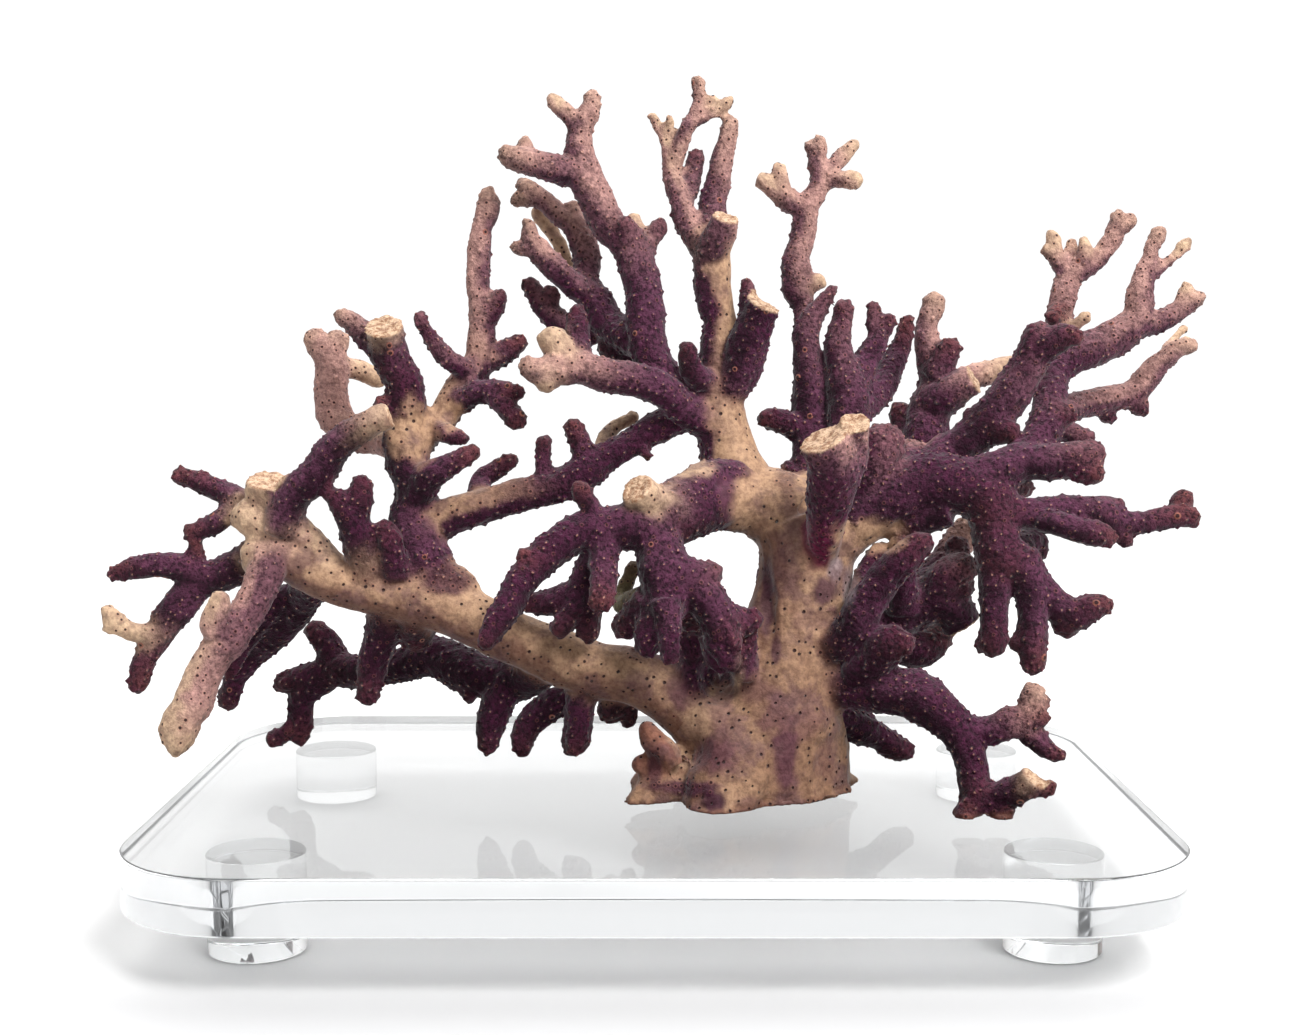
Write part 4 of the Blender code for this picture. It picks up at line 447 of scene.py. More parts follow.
            (110.5, 44, 0, 4.6), (115, 47, 1, 4.2), (119, 50.3, 1, 3.9), (119.4, 54, 1, 3.5),
            (119.8, 57.5, 1, 3.2), (120.8, 61.5, 1, 2.8), (122, 65, 1, 2.2), (122.8, 68.5, 1, 2.1),
            (124.7, 72, 1, 2)),
        tip(Coat.ROSE_TO_CREAM, (121.3, 60.8, 1, 2.4), (125, 63.3, 2, 1.9), (128.5, 66, 3, 1.8),
            (131.2, 69, 3, 1.8)),
        tip(Coat.MAUVE_TO_ROSE, (119, 49, 1, 3.6), (124, 49.8, 2, 2.8), (128.5, 52, 3, 2.7),
            (132, 54.5, 3, 2.6), (135, 56, 3, 1.9)),
        tip(Coat.ROSE_TO_CREAM, (130, 54.5, 3, 2.3), (131.5, 58.6, 3, 1.9)),
        tip(Coat.MAUVE, (97, 27, -9, 4.4), (101.8, 26.6, -11, 3.2)),
    ],
    "far_right_back_branch": [
        tip(Coat.MAUVE_TO_ROSE, (97.8, 33, -6, 3.4), (97.8, 40, 6, 3.4), (98.8, 46, 11, 3.5),
            (99.6, 50, 13, 3.5), (100.5, 55, 14, 3.3), (101.8, 60, 15, 3), (103.5, 62, 15, 2.9),
            (106.5, 63.5, 15, 2.7), (110, 66.5, 15, 2.4), (113, 71, 15, 2.5), (114.2, 76, 15, 2)),
        tip(Coat.ROSE_TO_CREAM, (102, 61.5, 15, 2.7), (99, 65.5, 15, 2.2), (98.2, 69, 15, 1.9),
            (97.7, 71.5, 15, 1.8)),
        tip(Coat.ROSE, (99, 65.8, 15, 2), (96.2, 67.5, 15, 1.6)),
        tip(Coat.ROSE, (102.5, 62.5, 16, 2), (102.3, 69.4, 17, 1.5)),
        tip(Coat.ROSE_TO_CREAM, (104.5, 63, 15, 2), (106, 67, 13, 1.9), (105.5, 70, 13, 1.6)),
        tip(Coat.ROSE, (113.5, 72.5, 15, 2.4), (117.3, 75, 15, 1.9)),
        tip(Coat.RUST, (99, 51, 12, 3), (98, 50.5, 8, 2.2)),
        tip(Coat.SAND, (100.5, 47, 11, 2.4), (103, 48.5, 9, 1.8), (106.3, 51, 8, 1.5)),
    ],
    "right_pale_branch": [
        tip(Coat.MAUVE_TO_ROSE, (93, 17, -11, 4), (98.5, 25, 2, 3.9), (103, 28.3, 9, 3.6),
            (108, 29.5, 12, 3.5), (113, 30.5, 13, 3.3), (117.5, 31.5, 14, 3.4), (120.5, 34.5, 14, 3.2),
            (123.5, 38, 14, 3.2), (127, 41.3, 14, 3), (130, 43.2, 14, 2.6), (133, 43.3, 14, 2)),
        tip(Coat.CREAM, (129.5, 42.5, 14, 2.2), (131.3, 45, 14, 1.7)),
        tip(Coat.MAUVE, (117.5, 31, 14, 3.1), (119.8, 27.8, 14, 2.5)),
        tip(Coat.CREAM, (126, 41, 15, 2), (128, 45, 20, 1.5), (131, 48, 21, 1.5)),
        tip(Coat.RUST, (109.5, 29, 13, 2.5), (112, 25.5, 15, 2)),
        tip(Coat.MAUVE, (97, 24, 0, 3.5), (103, 21.5, -1, 2.8), (107.5, 20.5, -2, 1.6)),
    ],
    "right_stem": [
        tip(Coat.PURPLE_TO_MAUVE, (34, 1, -4, 5.4), (35.5, 9, 1, 4.8), (37, 15, 3, 4.4),
            (37.3, 20, 4, 4.6), (37.3, 27, 5, 4.5), (37.3, 32.7, 5, 4.1), (36.4, 41.7, 5, 3.6),
            (36.2, 47, 5, 3.2), (38.6, 51.5, 5, 2.7), (41, 55.1, 5, 2.1), (42.8, 57.8, 5, 1.8)),
        tip(Coat.PLUM, (35.5, 22, 4, 3.4), (30.5, 24.5, 2, 2.9), (26, 25.5, 1, 2.5)),
        tip(Coat.PURPLE, (34.5, 9, 0, 3), (31.8, 13, 2, 2.4)),
    ],
    "right_pink_branch": [
        tip(Coat.MAUVE_TO_ROSE, (37, 34, 6, 3.2), (36, 43, 14, 2.8), (35.6, 52.9, 18, 2.8),
            (34.3, 56.9, 18, 3.6), (33.8, 61.4, 18, 3.6), (33.4, 65, 18, 3.3), (34.7, 68.6, 18, 3.2),
            (35.6, 72.2, 18, 3), (36.1, 75.8, 18, 3.1), (36.4, 78.5, 18, 3), (38.3, 81.2, 18, 2.7),
            (40.1, 85.2, 18, 2.6), (38.9, 89.7, 18, 2.3), (39.7, 95.1, 18, 1.8)),
        tip(Coat.ROSE_TO_CREAM, (35.5, 77.5, 18, 2.8), (31.6, 80.3, 17, 2.5), (28.5, 82.5, 16, 2.4),
            (25.3, 84.7, 15, 2.1)),
        tip(Coat.ROSE_TO_CREAM, (30, 81.5, 16, 2.1), (29.4, 87.9, 15, 1.8)),
        tip(Coat.ROSE, (38.6, 91, 18, 1.9), (36.8, 93.8, 18, 1.6)),
        tip(Coat.ROSE_TO_CREAM, (40.5, 86, 18, 2.2), (43.7, 89.2, 19, 2), (46.4, 92.4, 20, 1.8),
            (48.4, 94.2, 20, 1.7)),
        tip(Coat.ROSE_TO_CREAM, (40, 84.5, 18, 2.4), (44.2, 85.2, 17, 2.2), (48.7, 84.7, 16, 2.2)),
        tip(Coat.SAND, (36, 58, 18, 2.5), (39.5, 60.1, 17, 1.8)),
    ],
    "middle_stem": [
        tip(Coat.PURPLE_TO_MAUVE, (45, 0, -6, 6), (45, 12, 0, 5.6), (46.5, 22, 1, 5.8), (47, 30, 1, 5.6),
            (45.5, 37, 2, 4.8), (44.3, 44, 2, 3.6), (45.3, 50, 2, 3.1), (45.7, 53.5, 2, 2.8)),
        tip(Coat.PURPLE_TO_MAUVE, (48, 32, 3, 4.4), (50.9, 39.4, 6, 3.8), (54.3, 45.3, 7, 3.5),
            (53.2, 48.8, 7, 2.7), (52.9, 53.8, 7, 1.9)),
        tip(Coat.PURPLE_TO_RUST, (54.5, 46, 7, 2.8), (57.2, 50.2, 7, 2.4)),
        tip(Coat.PURPLE_TO_RUST, (49, 27, 3, 4.6), (54.5, 32.7, 9, 3.8), (57.4, 38.5, 13, 3.3),
            (60, 43.9, 15, 2.8), (61.7, 50, 15, 2.2)),
    ],
    "inner_stem": [
        tip(Coat.PURPLE_TO_ROSE, (60, 9, -11, 5.4), (64, 16, -1, 5.6), (66, 21, 0, 5.6), (67, 28, 1, 5.2),
            (68.5, 33, 1, 4.6), (68.4, 37.2, 1, 4), (66.6, 43.9, 0, 3.6), (66.2, 49.3, 0, 2.8),
            (68.4, 54.7, 0, 2.6)),
        tip(Coat.PURPLE_TO_RUST, (68, 36, -1, 3.8), (71, 40.5, -3, 3.2), (72, 43.7, -4, 2.8)),
        stump(Coat.PURPLE_TO_ROSE, (68, 29, -1, 4.8), (73, 32.3, -4, 4.4), (78.5, 35.2, -6, 4)),
        tip(Coat.ROSE_TO_CREAM, (70, 32, 3, 3.6), (78, 36, 6, 3), (83, 37, 8, 2.8), (88, 38.5, 10, 2.4)),
        tip(Coat.PLUM_TO_RUST, (64, 18, 1, 3.6), (60.5, 23, 5, 3), (59.5, 27.6, 6, 2.8)),
    ],
    "lower_right_branch": [
        tip(Coat.PURPLE, (38, -40, -7, 7.5), (47, -41.5, -12, 6.6), (55, -42.4, -16, 6.3),
            (63, -44, -19, 6.3), (69, -47.8, -22, 5.7), (74, -52.4, -24, 5), (76.8, -58, -26, 4.4),
            (78, -64, -27, 4.1), (79.5, -70, -29, 4.3)),
        root(Coat.RUST, (79, -70, -29, 3.6), (76.2, -73.5, -30, 2.9), (75.6, -78, -31, 2.9)),
        root(Coat.RUST, (81, -69, -29, 3.8), (84.6, -72.5, -30, 3.3), (85.6, -78, -32, 3.2)),
        stump(Coat.PURPLE_TO_CREAM, (82, -69.5, -29, 3.6), (86, -68.5, -31, 3.3), (90, -67, -33, 3.2),
            (93.4, -64.2, -35, 3.1)),
        tip(Coat.RUST, (92, -66.5, -33, 2.8), (97, -66.8, -35, 1.9)),
        tip(Coat.PURPLE_TO_ROSE, (75, -53, -24, 4.2), (82, -52.6, -25, 3.7), (87, -50.8, -26, 3.7),
            (91, -50.5, -26, 3.5), (92.6, -47, -26, 3.1), (93.2, -42.8, -26, 2.8)),
        tip(Coat.RUST, (93, -46, -26, 2.8), (95.6, -45, -25, 2.1)),
        tip(Coat.RUST, (91, -50, -27, 2.8), (95.5, -49.4, -28, 2.2)),
        tip(Coat.PURPLE_TO_RUST, (90, -51, -26, 3.3), (93.5, -54.5, -26, 2.9), (96.5, -57.5, -27, 2.4),
            (100, -59, -28, 2)),
        tip(Coat.MAUVE, (84, -51.5, -25, 3), (86, -49, -26, 2.4)),
        tip(Coat.PURPLE, (48, -41, -13, 5.6), (53, -35, -18, 5.6), (57, -31, -22, 5), (61, -31, -25, 3.8)),
        tip(Coat.PLUM, (41, -48, -5, 6.5), (49, -51.4, -2, 4.8), (53, -53.5, 0, 3.4), (58, -56.5, 2, 3.1),
            (61, -57.3, 3, 2.5)),
    ],
    "front_finger": [
        tip(Coat.PURPLE, (39, -33, -10, 5.4), (46, -29, -17, 5), (50, -23, -20, 5), (54, -17, -22, 4.6),
            (58, -12, -24, 4.4), (62, -8, -26, 3.9), (65.3, -5.6, -27, 3.1)),
        tip(Coat.PURPLE, (49, -22, -18, 3.6), (51.5, -13, -12, 3.2), (54.3, -7, -11, 2.6)),
    ],
    "inner_right_branch": [
        tip(Coat.PURPLE_TO_MAUVE, (42, -30, -6, 6), (52, -27, -2, 6), (61, -22, -2, 6.2),
            (68, -19, -4, 6), (72, -14, -8, 5), (76, -11.5, -10, 4)),
        stump(Coat.PURPLE, (68, -18, -5, 5.8), (72, -21, -5, 5.4), (75.4, -26.6, -4, 4.8)),
        tip(Coat.MAUVE, (72, -14, -8, 4), (74.3, -9.5, -5, 3.3), (73.7, -6, -4, 3)),
        tip(Coat.PLUM_TO_RUST, (55, -27, 0, 5), (61, -31.5, 2, 4.8), (66, -31.6, 3, 4.6),
            (70, -28.5, 4, 3.6)),
        tip(Coat.PURPLE_TO_ROSE, (64, -20, 2, 5), (69, -13, 8, 4.2), (74.5, -5, 12, 4),
            (76.5, -1.5, 13, 3.4)),
        tip(Coat.PURPLE, (68, -19, -4, 5.6), (75, -16.5, -8, 4)),
        tip(Coat.PLUM, (60, -22, -6, 4.6), (60, -13, -11, 3.6), (59.5, -5.5, -13, 3.2)),
    ],
    "back_branch_1": [
        tip(Coat.PURPLE_TO_ROSE, (31, -22, 0, 7), (30, -14, 18, 6), (29, -6, 34, 5), (27, 2, 46, 4.2),
            (22.5, 9, 58, 3.2)),
        tip(Coat.PURPLE_TO_ROSE, (28, -2, 42, 4.4), (34, 3, 52, 3.4), (36, 8, 58, 2.8)),
        tip(Coat.PURPLE_TO_RUST, (30, -12, 22, 5), (33, -22, 34, 4), (34, -27, 42, 3)),
    ],
    "back_branch_2": [
        tip(Coat.PURPLE_TO_ROSE, (60, 7, -9, 6), (62, 6, 8, 5.4), (63, 8, 24, 4.6), (60, 11, 38, 3.8),
            (57, 16, 48, 3)),
        tip(Coat.PURPLE_TO_RUST, (63, 8, 22, 4.2), (70, 9, 34, 3.4), (74, 12, 42, 2.8)),
    ],
    "back_branch_3": [
        tip(Coat.PURPLE_TO_RUST, (60, -23, 1, 4.8), (62, -20, 16, 4.4), (65, -18, 30, 4),
            (62, -14, 42, 3.2)),
        tip(Coat.PURPLE_TO_ROSE, (64, -19, 24, 3.8), (70, -19, 36, 3.2), (73, -22, 44, 2.6)),
    ],
    "back_branch_4": [
        tip(Coat.PLUM_TO_RUST, (-46, -25, -8, 5.4), (-47, -24, 8, 4.8), (-49, -22, 24, 4.2),
            (-52, -21, 38, 3.4), (-56, -19, 46, 2.8)),
        tip(Coat.PLUM_TO_RUST, (-48, -23, 18, 4.2), (-43, -26, 32, 3.4), (-40, -27, 42, 2.8)),
    ],
    "back_branch_5": [
        tip(Coat.STEM_TO_ROSE, (15.5, 20, -3, 5.4), (15.5, 22, 12, 4.6), (16, 27, 26, 4), (15, 34, 38, 3)),
        tip(Coat.MAUVE_TO_ROSE, (16, 24, 20, 4), (14.5, 18, 34, 3.4), (16, 14, 44, 2.8)),
    ],
}


@dataclass(frozen=True)
class DrawingView:
    """The viewpoint and the upright drawing plane in front of it, in mm."""

    viewpoint: tuple = (1.35, -458.0, 135.0)
    pitch: float = 0.0922
    distance: float = 462.5
    origin: tuple = (0.12, -0.5)

    def axes(self) -> tuple[Rows, Rows, Rows]:
        """The view's right, upward and forward directions, each a unit vector."""
        cos, sin = math.cos(self.pitch), math.sin(self.pitch)
        return np.array([1.0, 0.0, 0.0]), np.array([0.0, sin, cos]), np.array([0.0, cos, -sin])

    def in_space(self, points: Rows) -> Rows:
        """Slide each point of the plane back along its line of sight: the further back, the wider apart.

        Args:
            points: rows of across, up, back and radius.

        Returns:
            Rows of x, y, z and radius, in mm.
        """
        points = np.asarray(points, float)
        right, upward, forward = self.axes()
        across, up = points[:, :1] + self.origin[0], points[:, 1:2] + self.origin[1]
        stretch = (self.distance + points[:, 2:3]) / self.distance
        on_plane = right * across + upward * up + forward * self.distance
        return np.hstack([np.array(self.viewpoint) + on_plane * stretch, points[:, 3:4] * stretch])

    def onto_plane(self, places: Rows) -> Rows:
        """The inverse of in_space.

        Args:
            places: rows of x, y and z, in mm.

        Returns:
            Rows of across, up and back, in mm.
        """
        right, upward, forward = self.axes()
        rays = places - np.array(self.viewpoint)
        depth = rays @ forward
        scale = self.distance / depth
        return np.stack([rays @ right * scale - self.origin[0], rays @ upward * scale - self.origin[1],
                         depth - self.distance], axis=1)


VIEW = DrawingView()

# A grown tip's rings, as angles up a ball, which starts a share of its radius before the last point.
BALL_ANGLES = (0.0, 20.0, 38.0, 55.0, 70.0, 82.0)
BALL_SETBACK = 0.3
# A tube's least radius in mm, and a direction that no branch starts along.
THINNEST = 0.05
FIRST_SIDE = (0.31, 0.87, 0.38)
# Farther than any spot, in mm.
FAR = 1e9
# Half the share of a branch over which its tone turns, how far a tip's tone and the blend between two
# branches reach in mm, and how many points are blended at a time.
TURN_HALF = 0.22
TIP_REACH = 2.6
BLEND_REACH = 0.8
BATCH = 4000


def smooth_step(low: float, high: float, value: Rows) -> Rows:
    """0 below low, 1 above high, and 3t^2 - 2t^3 between them, with t the share of the way."""
    t = np.clip((value - low) / (high - low), 0.0, 1.0)
    return t * t * (3.0 - 2.0 * t)


def carried_path(points: tuple, steps: int = 5) -> Rows:
    """A Catmull-Rom curve through the points: each span is the cubic that leaves and meets its ends
    along the lines between their neighbours.

    Args:
        points: rows of across, up, back and radius.
        steps: places on each span.

    Returns:
        Rows of x, y, z and radius, in mm.
    """
    rows = VIEW.in_space(points)
    reach = np.vstack([2 * rows[0] - rows[1], rows, 2 * rows[-1] - rows[-2]])
    p0, p1, p2, p3 = (reach[k:len(rows) - 1 + k, None] for k in range(4))
    t = np.linspace(0.0, 1.0, steps, endpoint=False)[None, :, None]
    spans = 0.5 * (2 * p1 + (p2 - p0) * t + (2 * p0 - 5 * p1 + 4 * p2 - p3) * t ** 2
                   + (3 * p1 - p0 - 3 * p2 + p3) * t ** 3)
    return np.vstack([spans.reshape(-1, 4), rows[-1:]])


def rounded_off(path: Rows) -> Rows:
    """Close a path's far end as most of a ball: rings at the sine and cosine of rising angles.

    Args:
        path: rows of x, y, z and radius.

    Returns:
        The path with its last row replaced by the ball's rings.
    """
    heading = path[-1, :3] - path[-2, :3]
    heading /= np.linalg.norm(heading)
    radius = path[-1, 3]
    angles = np.radians(BALL_ANGLES)[:, None]
    places = path[-1, :3] + heading * radius * (np.sin(angles) - BALL_SETBACK)
    return np.vstack([path[:-1], np.hstack([places, radius * np.cos(angles)])])


def ring_faces(count: int, sides: int) -> list:
    """Quads between each ring and the next, and the first and the last ring as the two ends.

    Args:
        count: rings, one after another.
        sides: points on each ring.

    Returns:
        The faces, as lists of their points' numbers.
    """
    starts = np.arange(count - 1)[:, None] * sides
    here = (starts + np.arange(sides)).ravel()
    ahead = (starts + (np.arange(sides) + 1) % sides).ravel()
    quads = np.stack([here, ahead, ahead + sides, here + sides], axis=1).tolist()
    last = (count - 1) * sides
    return quads + [list(range(sides))[::-1], list(range(last, last + sides))]


def placed(name: str, points: Rows, faces: list) -> Piece:
    """A new object at the origin, with its place in its mesh.

    Args:
        name: the object's name.
        points: rows of x, y and z.
        faces: lists of points' numbers.

    Returns:
        The object, linked to the scene.
    """
    mesh = bpy.data.meshes.new(name)
    mesh.from_pydata(points.tolist(), [], faces)
    made = bpy.data.objects.new(name, mesh)
    bpy.context.scene.collection.objects.link(made)
    return made


def tube(path: Rows, sides: int = 18) -> tuple[Rows, list]:
    """A round tube along a path: centre + radius * (cos a * across + sin a * up), with each ring's two
    directions carried on from the ring before, turned as little as the path allows.

    Args:
        path: rows of x, y, z and radius.
        sides: points on each ring.

    Returns:
        The points, and the faces as lists of their numbers, closed at both ends.
    """
    centres, radii = path[:, :3], np.maximum(path[:, 3:], THINNEST)
    headings = np.gradient(centres, axis=0)
    headings /= np.linalg.norm(headings, axis=1, keepdims=True)
    side = np.cross(headings[0], FIRST_SIDE)
    across = np.empty_like(headings)
    for index, heading in enumerate(headings):
        side = side - heading * (side @ heading)
        side /= np.linalg.norm(side)
        across[index] = side
    upward = np.cross(headings, across)
    angles = np.linspace(0.0, 2 * np.pi, sides, endpoint=False)[None, :, None]
    rings = (centres[:, None] + radii[:, None]
             * (np.cos(angles) * across[:, None] + np.sin(angles) * upward[:, None]))
    return rings.reshape(-1, 3), ring_faces(len(path), sides)


def ripple(places: Rows, wave: float, seed: int) -> Rows:
    """Soft random waves from -1 to 1: hashed values on a lattice one wave wide, eased between corners.

    Args:
        places: rows of x, y and z, in mm.
        wave: the lattice's width, in mm.
        seed: which waves.

    Returns:
        One height for each place.
    """
    scaled = places / wave
    base = np.floor(scaled).astype(np.int64)
    ease = scaled - base
    ease = ease * ease * (3.0 - 2.0 * ease)
    total = np.zeros(len(places))
    for corner in np.ndindex(2, 2, 2):
        x, y, z = (base + corner).T
        mixed = (x * 73856093) ^ (y * 19349663) ^ (z * 83492791) ^ (seed * 50331653)
        mixed = (mixed ^ (mixed >> 13)) * 1274126177 & 0x7FFFFFFF
        mixed = (mixed ^ (mixed >> 15)) & 0xFFFFFF
        weight = np.prod(np.where(np.array(corner) == 1, ease, 1.0 - ease), axis=1)
        total += weight * (mixed / float(0x7FFFFF) - 1.0)
    return total


def mean_of_neighbours(places: Rows, edges: Rows) -> Rows:
    """Each point's neighbours' mean place, summed over the edges.

    Args:
        places: rows of x, y and z.
        edges: rows of two points' numbers.

    Returns:
        Rows of x, y and z.
    """
    count = len(places)
    ends = np.concatenate([edges[:, 0], edges[:, 1]])
    others = np.concatenate([edges[:, 1], edges[:, 0]])
    near = np.bincount(ends, minlength=count)[:, None]
    sums = np.stack([np.bincount(ends, places[others, axis], count) for axis in range(3)], axis=1)
    return sums / np.maximum(near, 1)


def point_normals(places: Rows, quads: Rows) -> Rows:
    """Each point's outward direction: the cross products of its quads' diagonals, summed.

    Args:
        places: rows of x, y and z.
        quads: rows of four points' numbers.

    Returns:
        Rows of unit vectors.
    """
    a, b, c, d = (places[quads[:, corner]] for corner in range(4))
    facing = np.cross(c - a, d - b)
    sums = np.stack([np.bincount(quads.ravel(), np.repeat(facing[:, axis], 4), len(places))
                     for axis in range(3)], axis=1)
    return sums / np.maximum(np.linalg.norm(sums, axis=1, keepdims=True), 1e-12)


@dataclass(frozen=True)
class SpotField:
    """Spots spread over a surface: at most one to a cell of the lattice, and none too near another."""

    spacing: float
    seed: int
    clearance: float = 0.66

    def keys(self, cells: Rows) -> Rows:
        """One whole number for each cell of the lattice."""
        x, y, z = (cells + 4096).T
        return (x * 8192 + y) * 8192 + z

    def around(self, places: Rows, table: Rows, owners: Rows) -> Iterator[Rows]:
        """Go through the 27 cells about each place.

        Args:
            places: rows of x, y and z, in mm.
            table: the keys of the cells that are taken, in order.
            owners: the number of the spot in each of them.

        Returns:
            For each cell in turn, its owner's number for every place, or -1.
        """
        cells = np.floor(places / self.spacing).astype(np.int64)
        for step in np.ndindex(3, 3, 3):
            wanted = self.keys(cells + np.array(step) - 1)
            found = np.minimum(np.searchsorted(table, wanted), len(table) - 1)
            yield np.where(table[found] == wanted, owners[found], -1)

    def spread(self, places: Rows) -> Rows:
        """Pick one point at random in each cell, and drop it where a higher draw is too near.

        Args:
            places: rows of x, y and z, in mm.

        Returns:
            The numbers of the points that hold a spot.
        """
        draw = np.random.default_rng(self.seed).random(len(places))
        keys = self.keys(np.floor(places / self.spacing).astype(np.int64))
        order = np.lexsort((draw, keys))
        table, first = np.unique(keys[order], return_index=True)
        chosen = order[first]
        crowded = np.zeros(len(chosen), bool)
        for owner in self.around(places[chosen], table, chosen):
            apart = np.linalg.norm(places[owner] - places[chosen], axis=1)
            crowded |= ((owner >= 0) & (owner != chosen) & (draw[owner] < draw[chosen])
                        & (apart < self.clearance * self.spacing))
        return chosen[~crowded]

    def nearest(self, places: Rows, chosen: Rows) -> tuple[Rows, Rows]:
        """Find each place's nearest spot.

        Args:
            places: rows of x, y and z, in mm.
            chosen: the numbers of the points that hold a spot.

        Returns:
            The nearest spot's number in chosen, and the way from it, in mm.
        """
        keys = self.keys(np.floor(places[chosen] / self.spacing).astype(np.int64))
        order = np.argsort(keys)
        best = np.full(len(places), FAR)
        nearest = np.zeros(len(places), np.int64)
        for owner in self.around(places, keys[order], order):
            apart = np.where(owner >= 0, np.linalg.norm(places - places[chosen[owner]], axis=1), FAR)
            closer = apart < best
            best[closer], nearest[closer] = apart[closer], owner[closer]
        return nearest, places - places[chosen[nearest]]


@dataclass(frozen=True)
class TonePatch:
    """A soft patch of another tone: across, up, half width, half height, in mm on the drawing plane."""

    tone: Tone
    across: float
    up: float
    wide: float
    high: float
    strength: float = 1.0
    back_to: float = 40.0


@dataclass(frozen=True)
class Dent:
    """A soft hollow (or with a negative depth a swelling): across, up, half width, half height, depth."""

    across: float
    up: float
    wide: float
    high: float
    depth: float
    lean: float = 0.0
    back_to: float = 30.0


@dataclass(frozen=True)
class CoralRelief:
    """Heights and sizes of what stands on the coral's skin, in mm."""

    wart_height: float = 0.40
    wart_radius: float = 0.78
    pore_depth: float = 0.35
    pore_radius: float = 0.48
    knob_height: float = 0.55
    knob_radius: float = 1.35
    swell: float = 0.42
    grain: float = 0.16
    ragged: float = 1.1
    flute: float = 2.6
    spot_spacing: float = 1.9
    knob_spacing: float = 2.9
    ease_rounds: int = 2
    ease_share: float = 0.5
    fork_rounds: int = 3
    fork_share: float = 0.6


@dataclass(frozen=True)
class SpotShares:
    """How the spots are shared out. The bounds are on a spot's wartiness, from 0 (bare) to 1, and each
    share is of the spots between them: those that are there, holed, ringed or pale at the top."""

    pale_from: float = 0.12
    rough_from: float = 0.5
    dark_from: float = 0.83
    spread: float = 0.25
    pores: float = 0.30
    pale: float = 0.5
    rosy: float = 0.75
    dark: float = 0.92
    rosy_holed: float = 0.8
    dark_holed: float = 0.16
    ringed_above: float = 0.992
    dull: float = 0.35


@dataclass(frozen=True)
class Spots:
    """Where the warts and pores sit: their middles and sizes in mm, what they are (hole, glint, pore,
    ring), and the nearest spot's number for each point."""

    middles: Rows
    sizes: Rows
    kinds: Rows
    owner: Rows

    def on_faces(self, places: Rows, quads: Rows) -> list[tuple[str, str, Rows]]:
        """Each face's nearest spot among its corners' spots.

        Args:
            places: rows of x, y and z, in mm.
            quads: rows of four points' numbers.

        Returns:
            The label, kind and values of each attribute, its lengths in metres.
        """
        choice = self.owner[quads]
        centre = places[quads].mean(axis=1)
        apart = np.linalg.norm(centre[:, None] - self.middles[choice], axis=2)
        mine = np.take_along_axis(choice, np.argmin(apart, axis=1)[:, None], axis=1)[:, 0]
        return [("spot_at", "FLOAT_VECTOR", self.middles[mine] * MM),
                ("spot_kind", "FLOAT_COLOR", self.kinds[mine]),
                ("spot_size", "FLOAT", self.sizes[mine, None] * MM)]


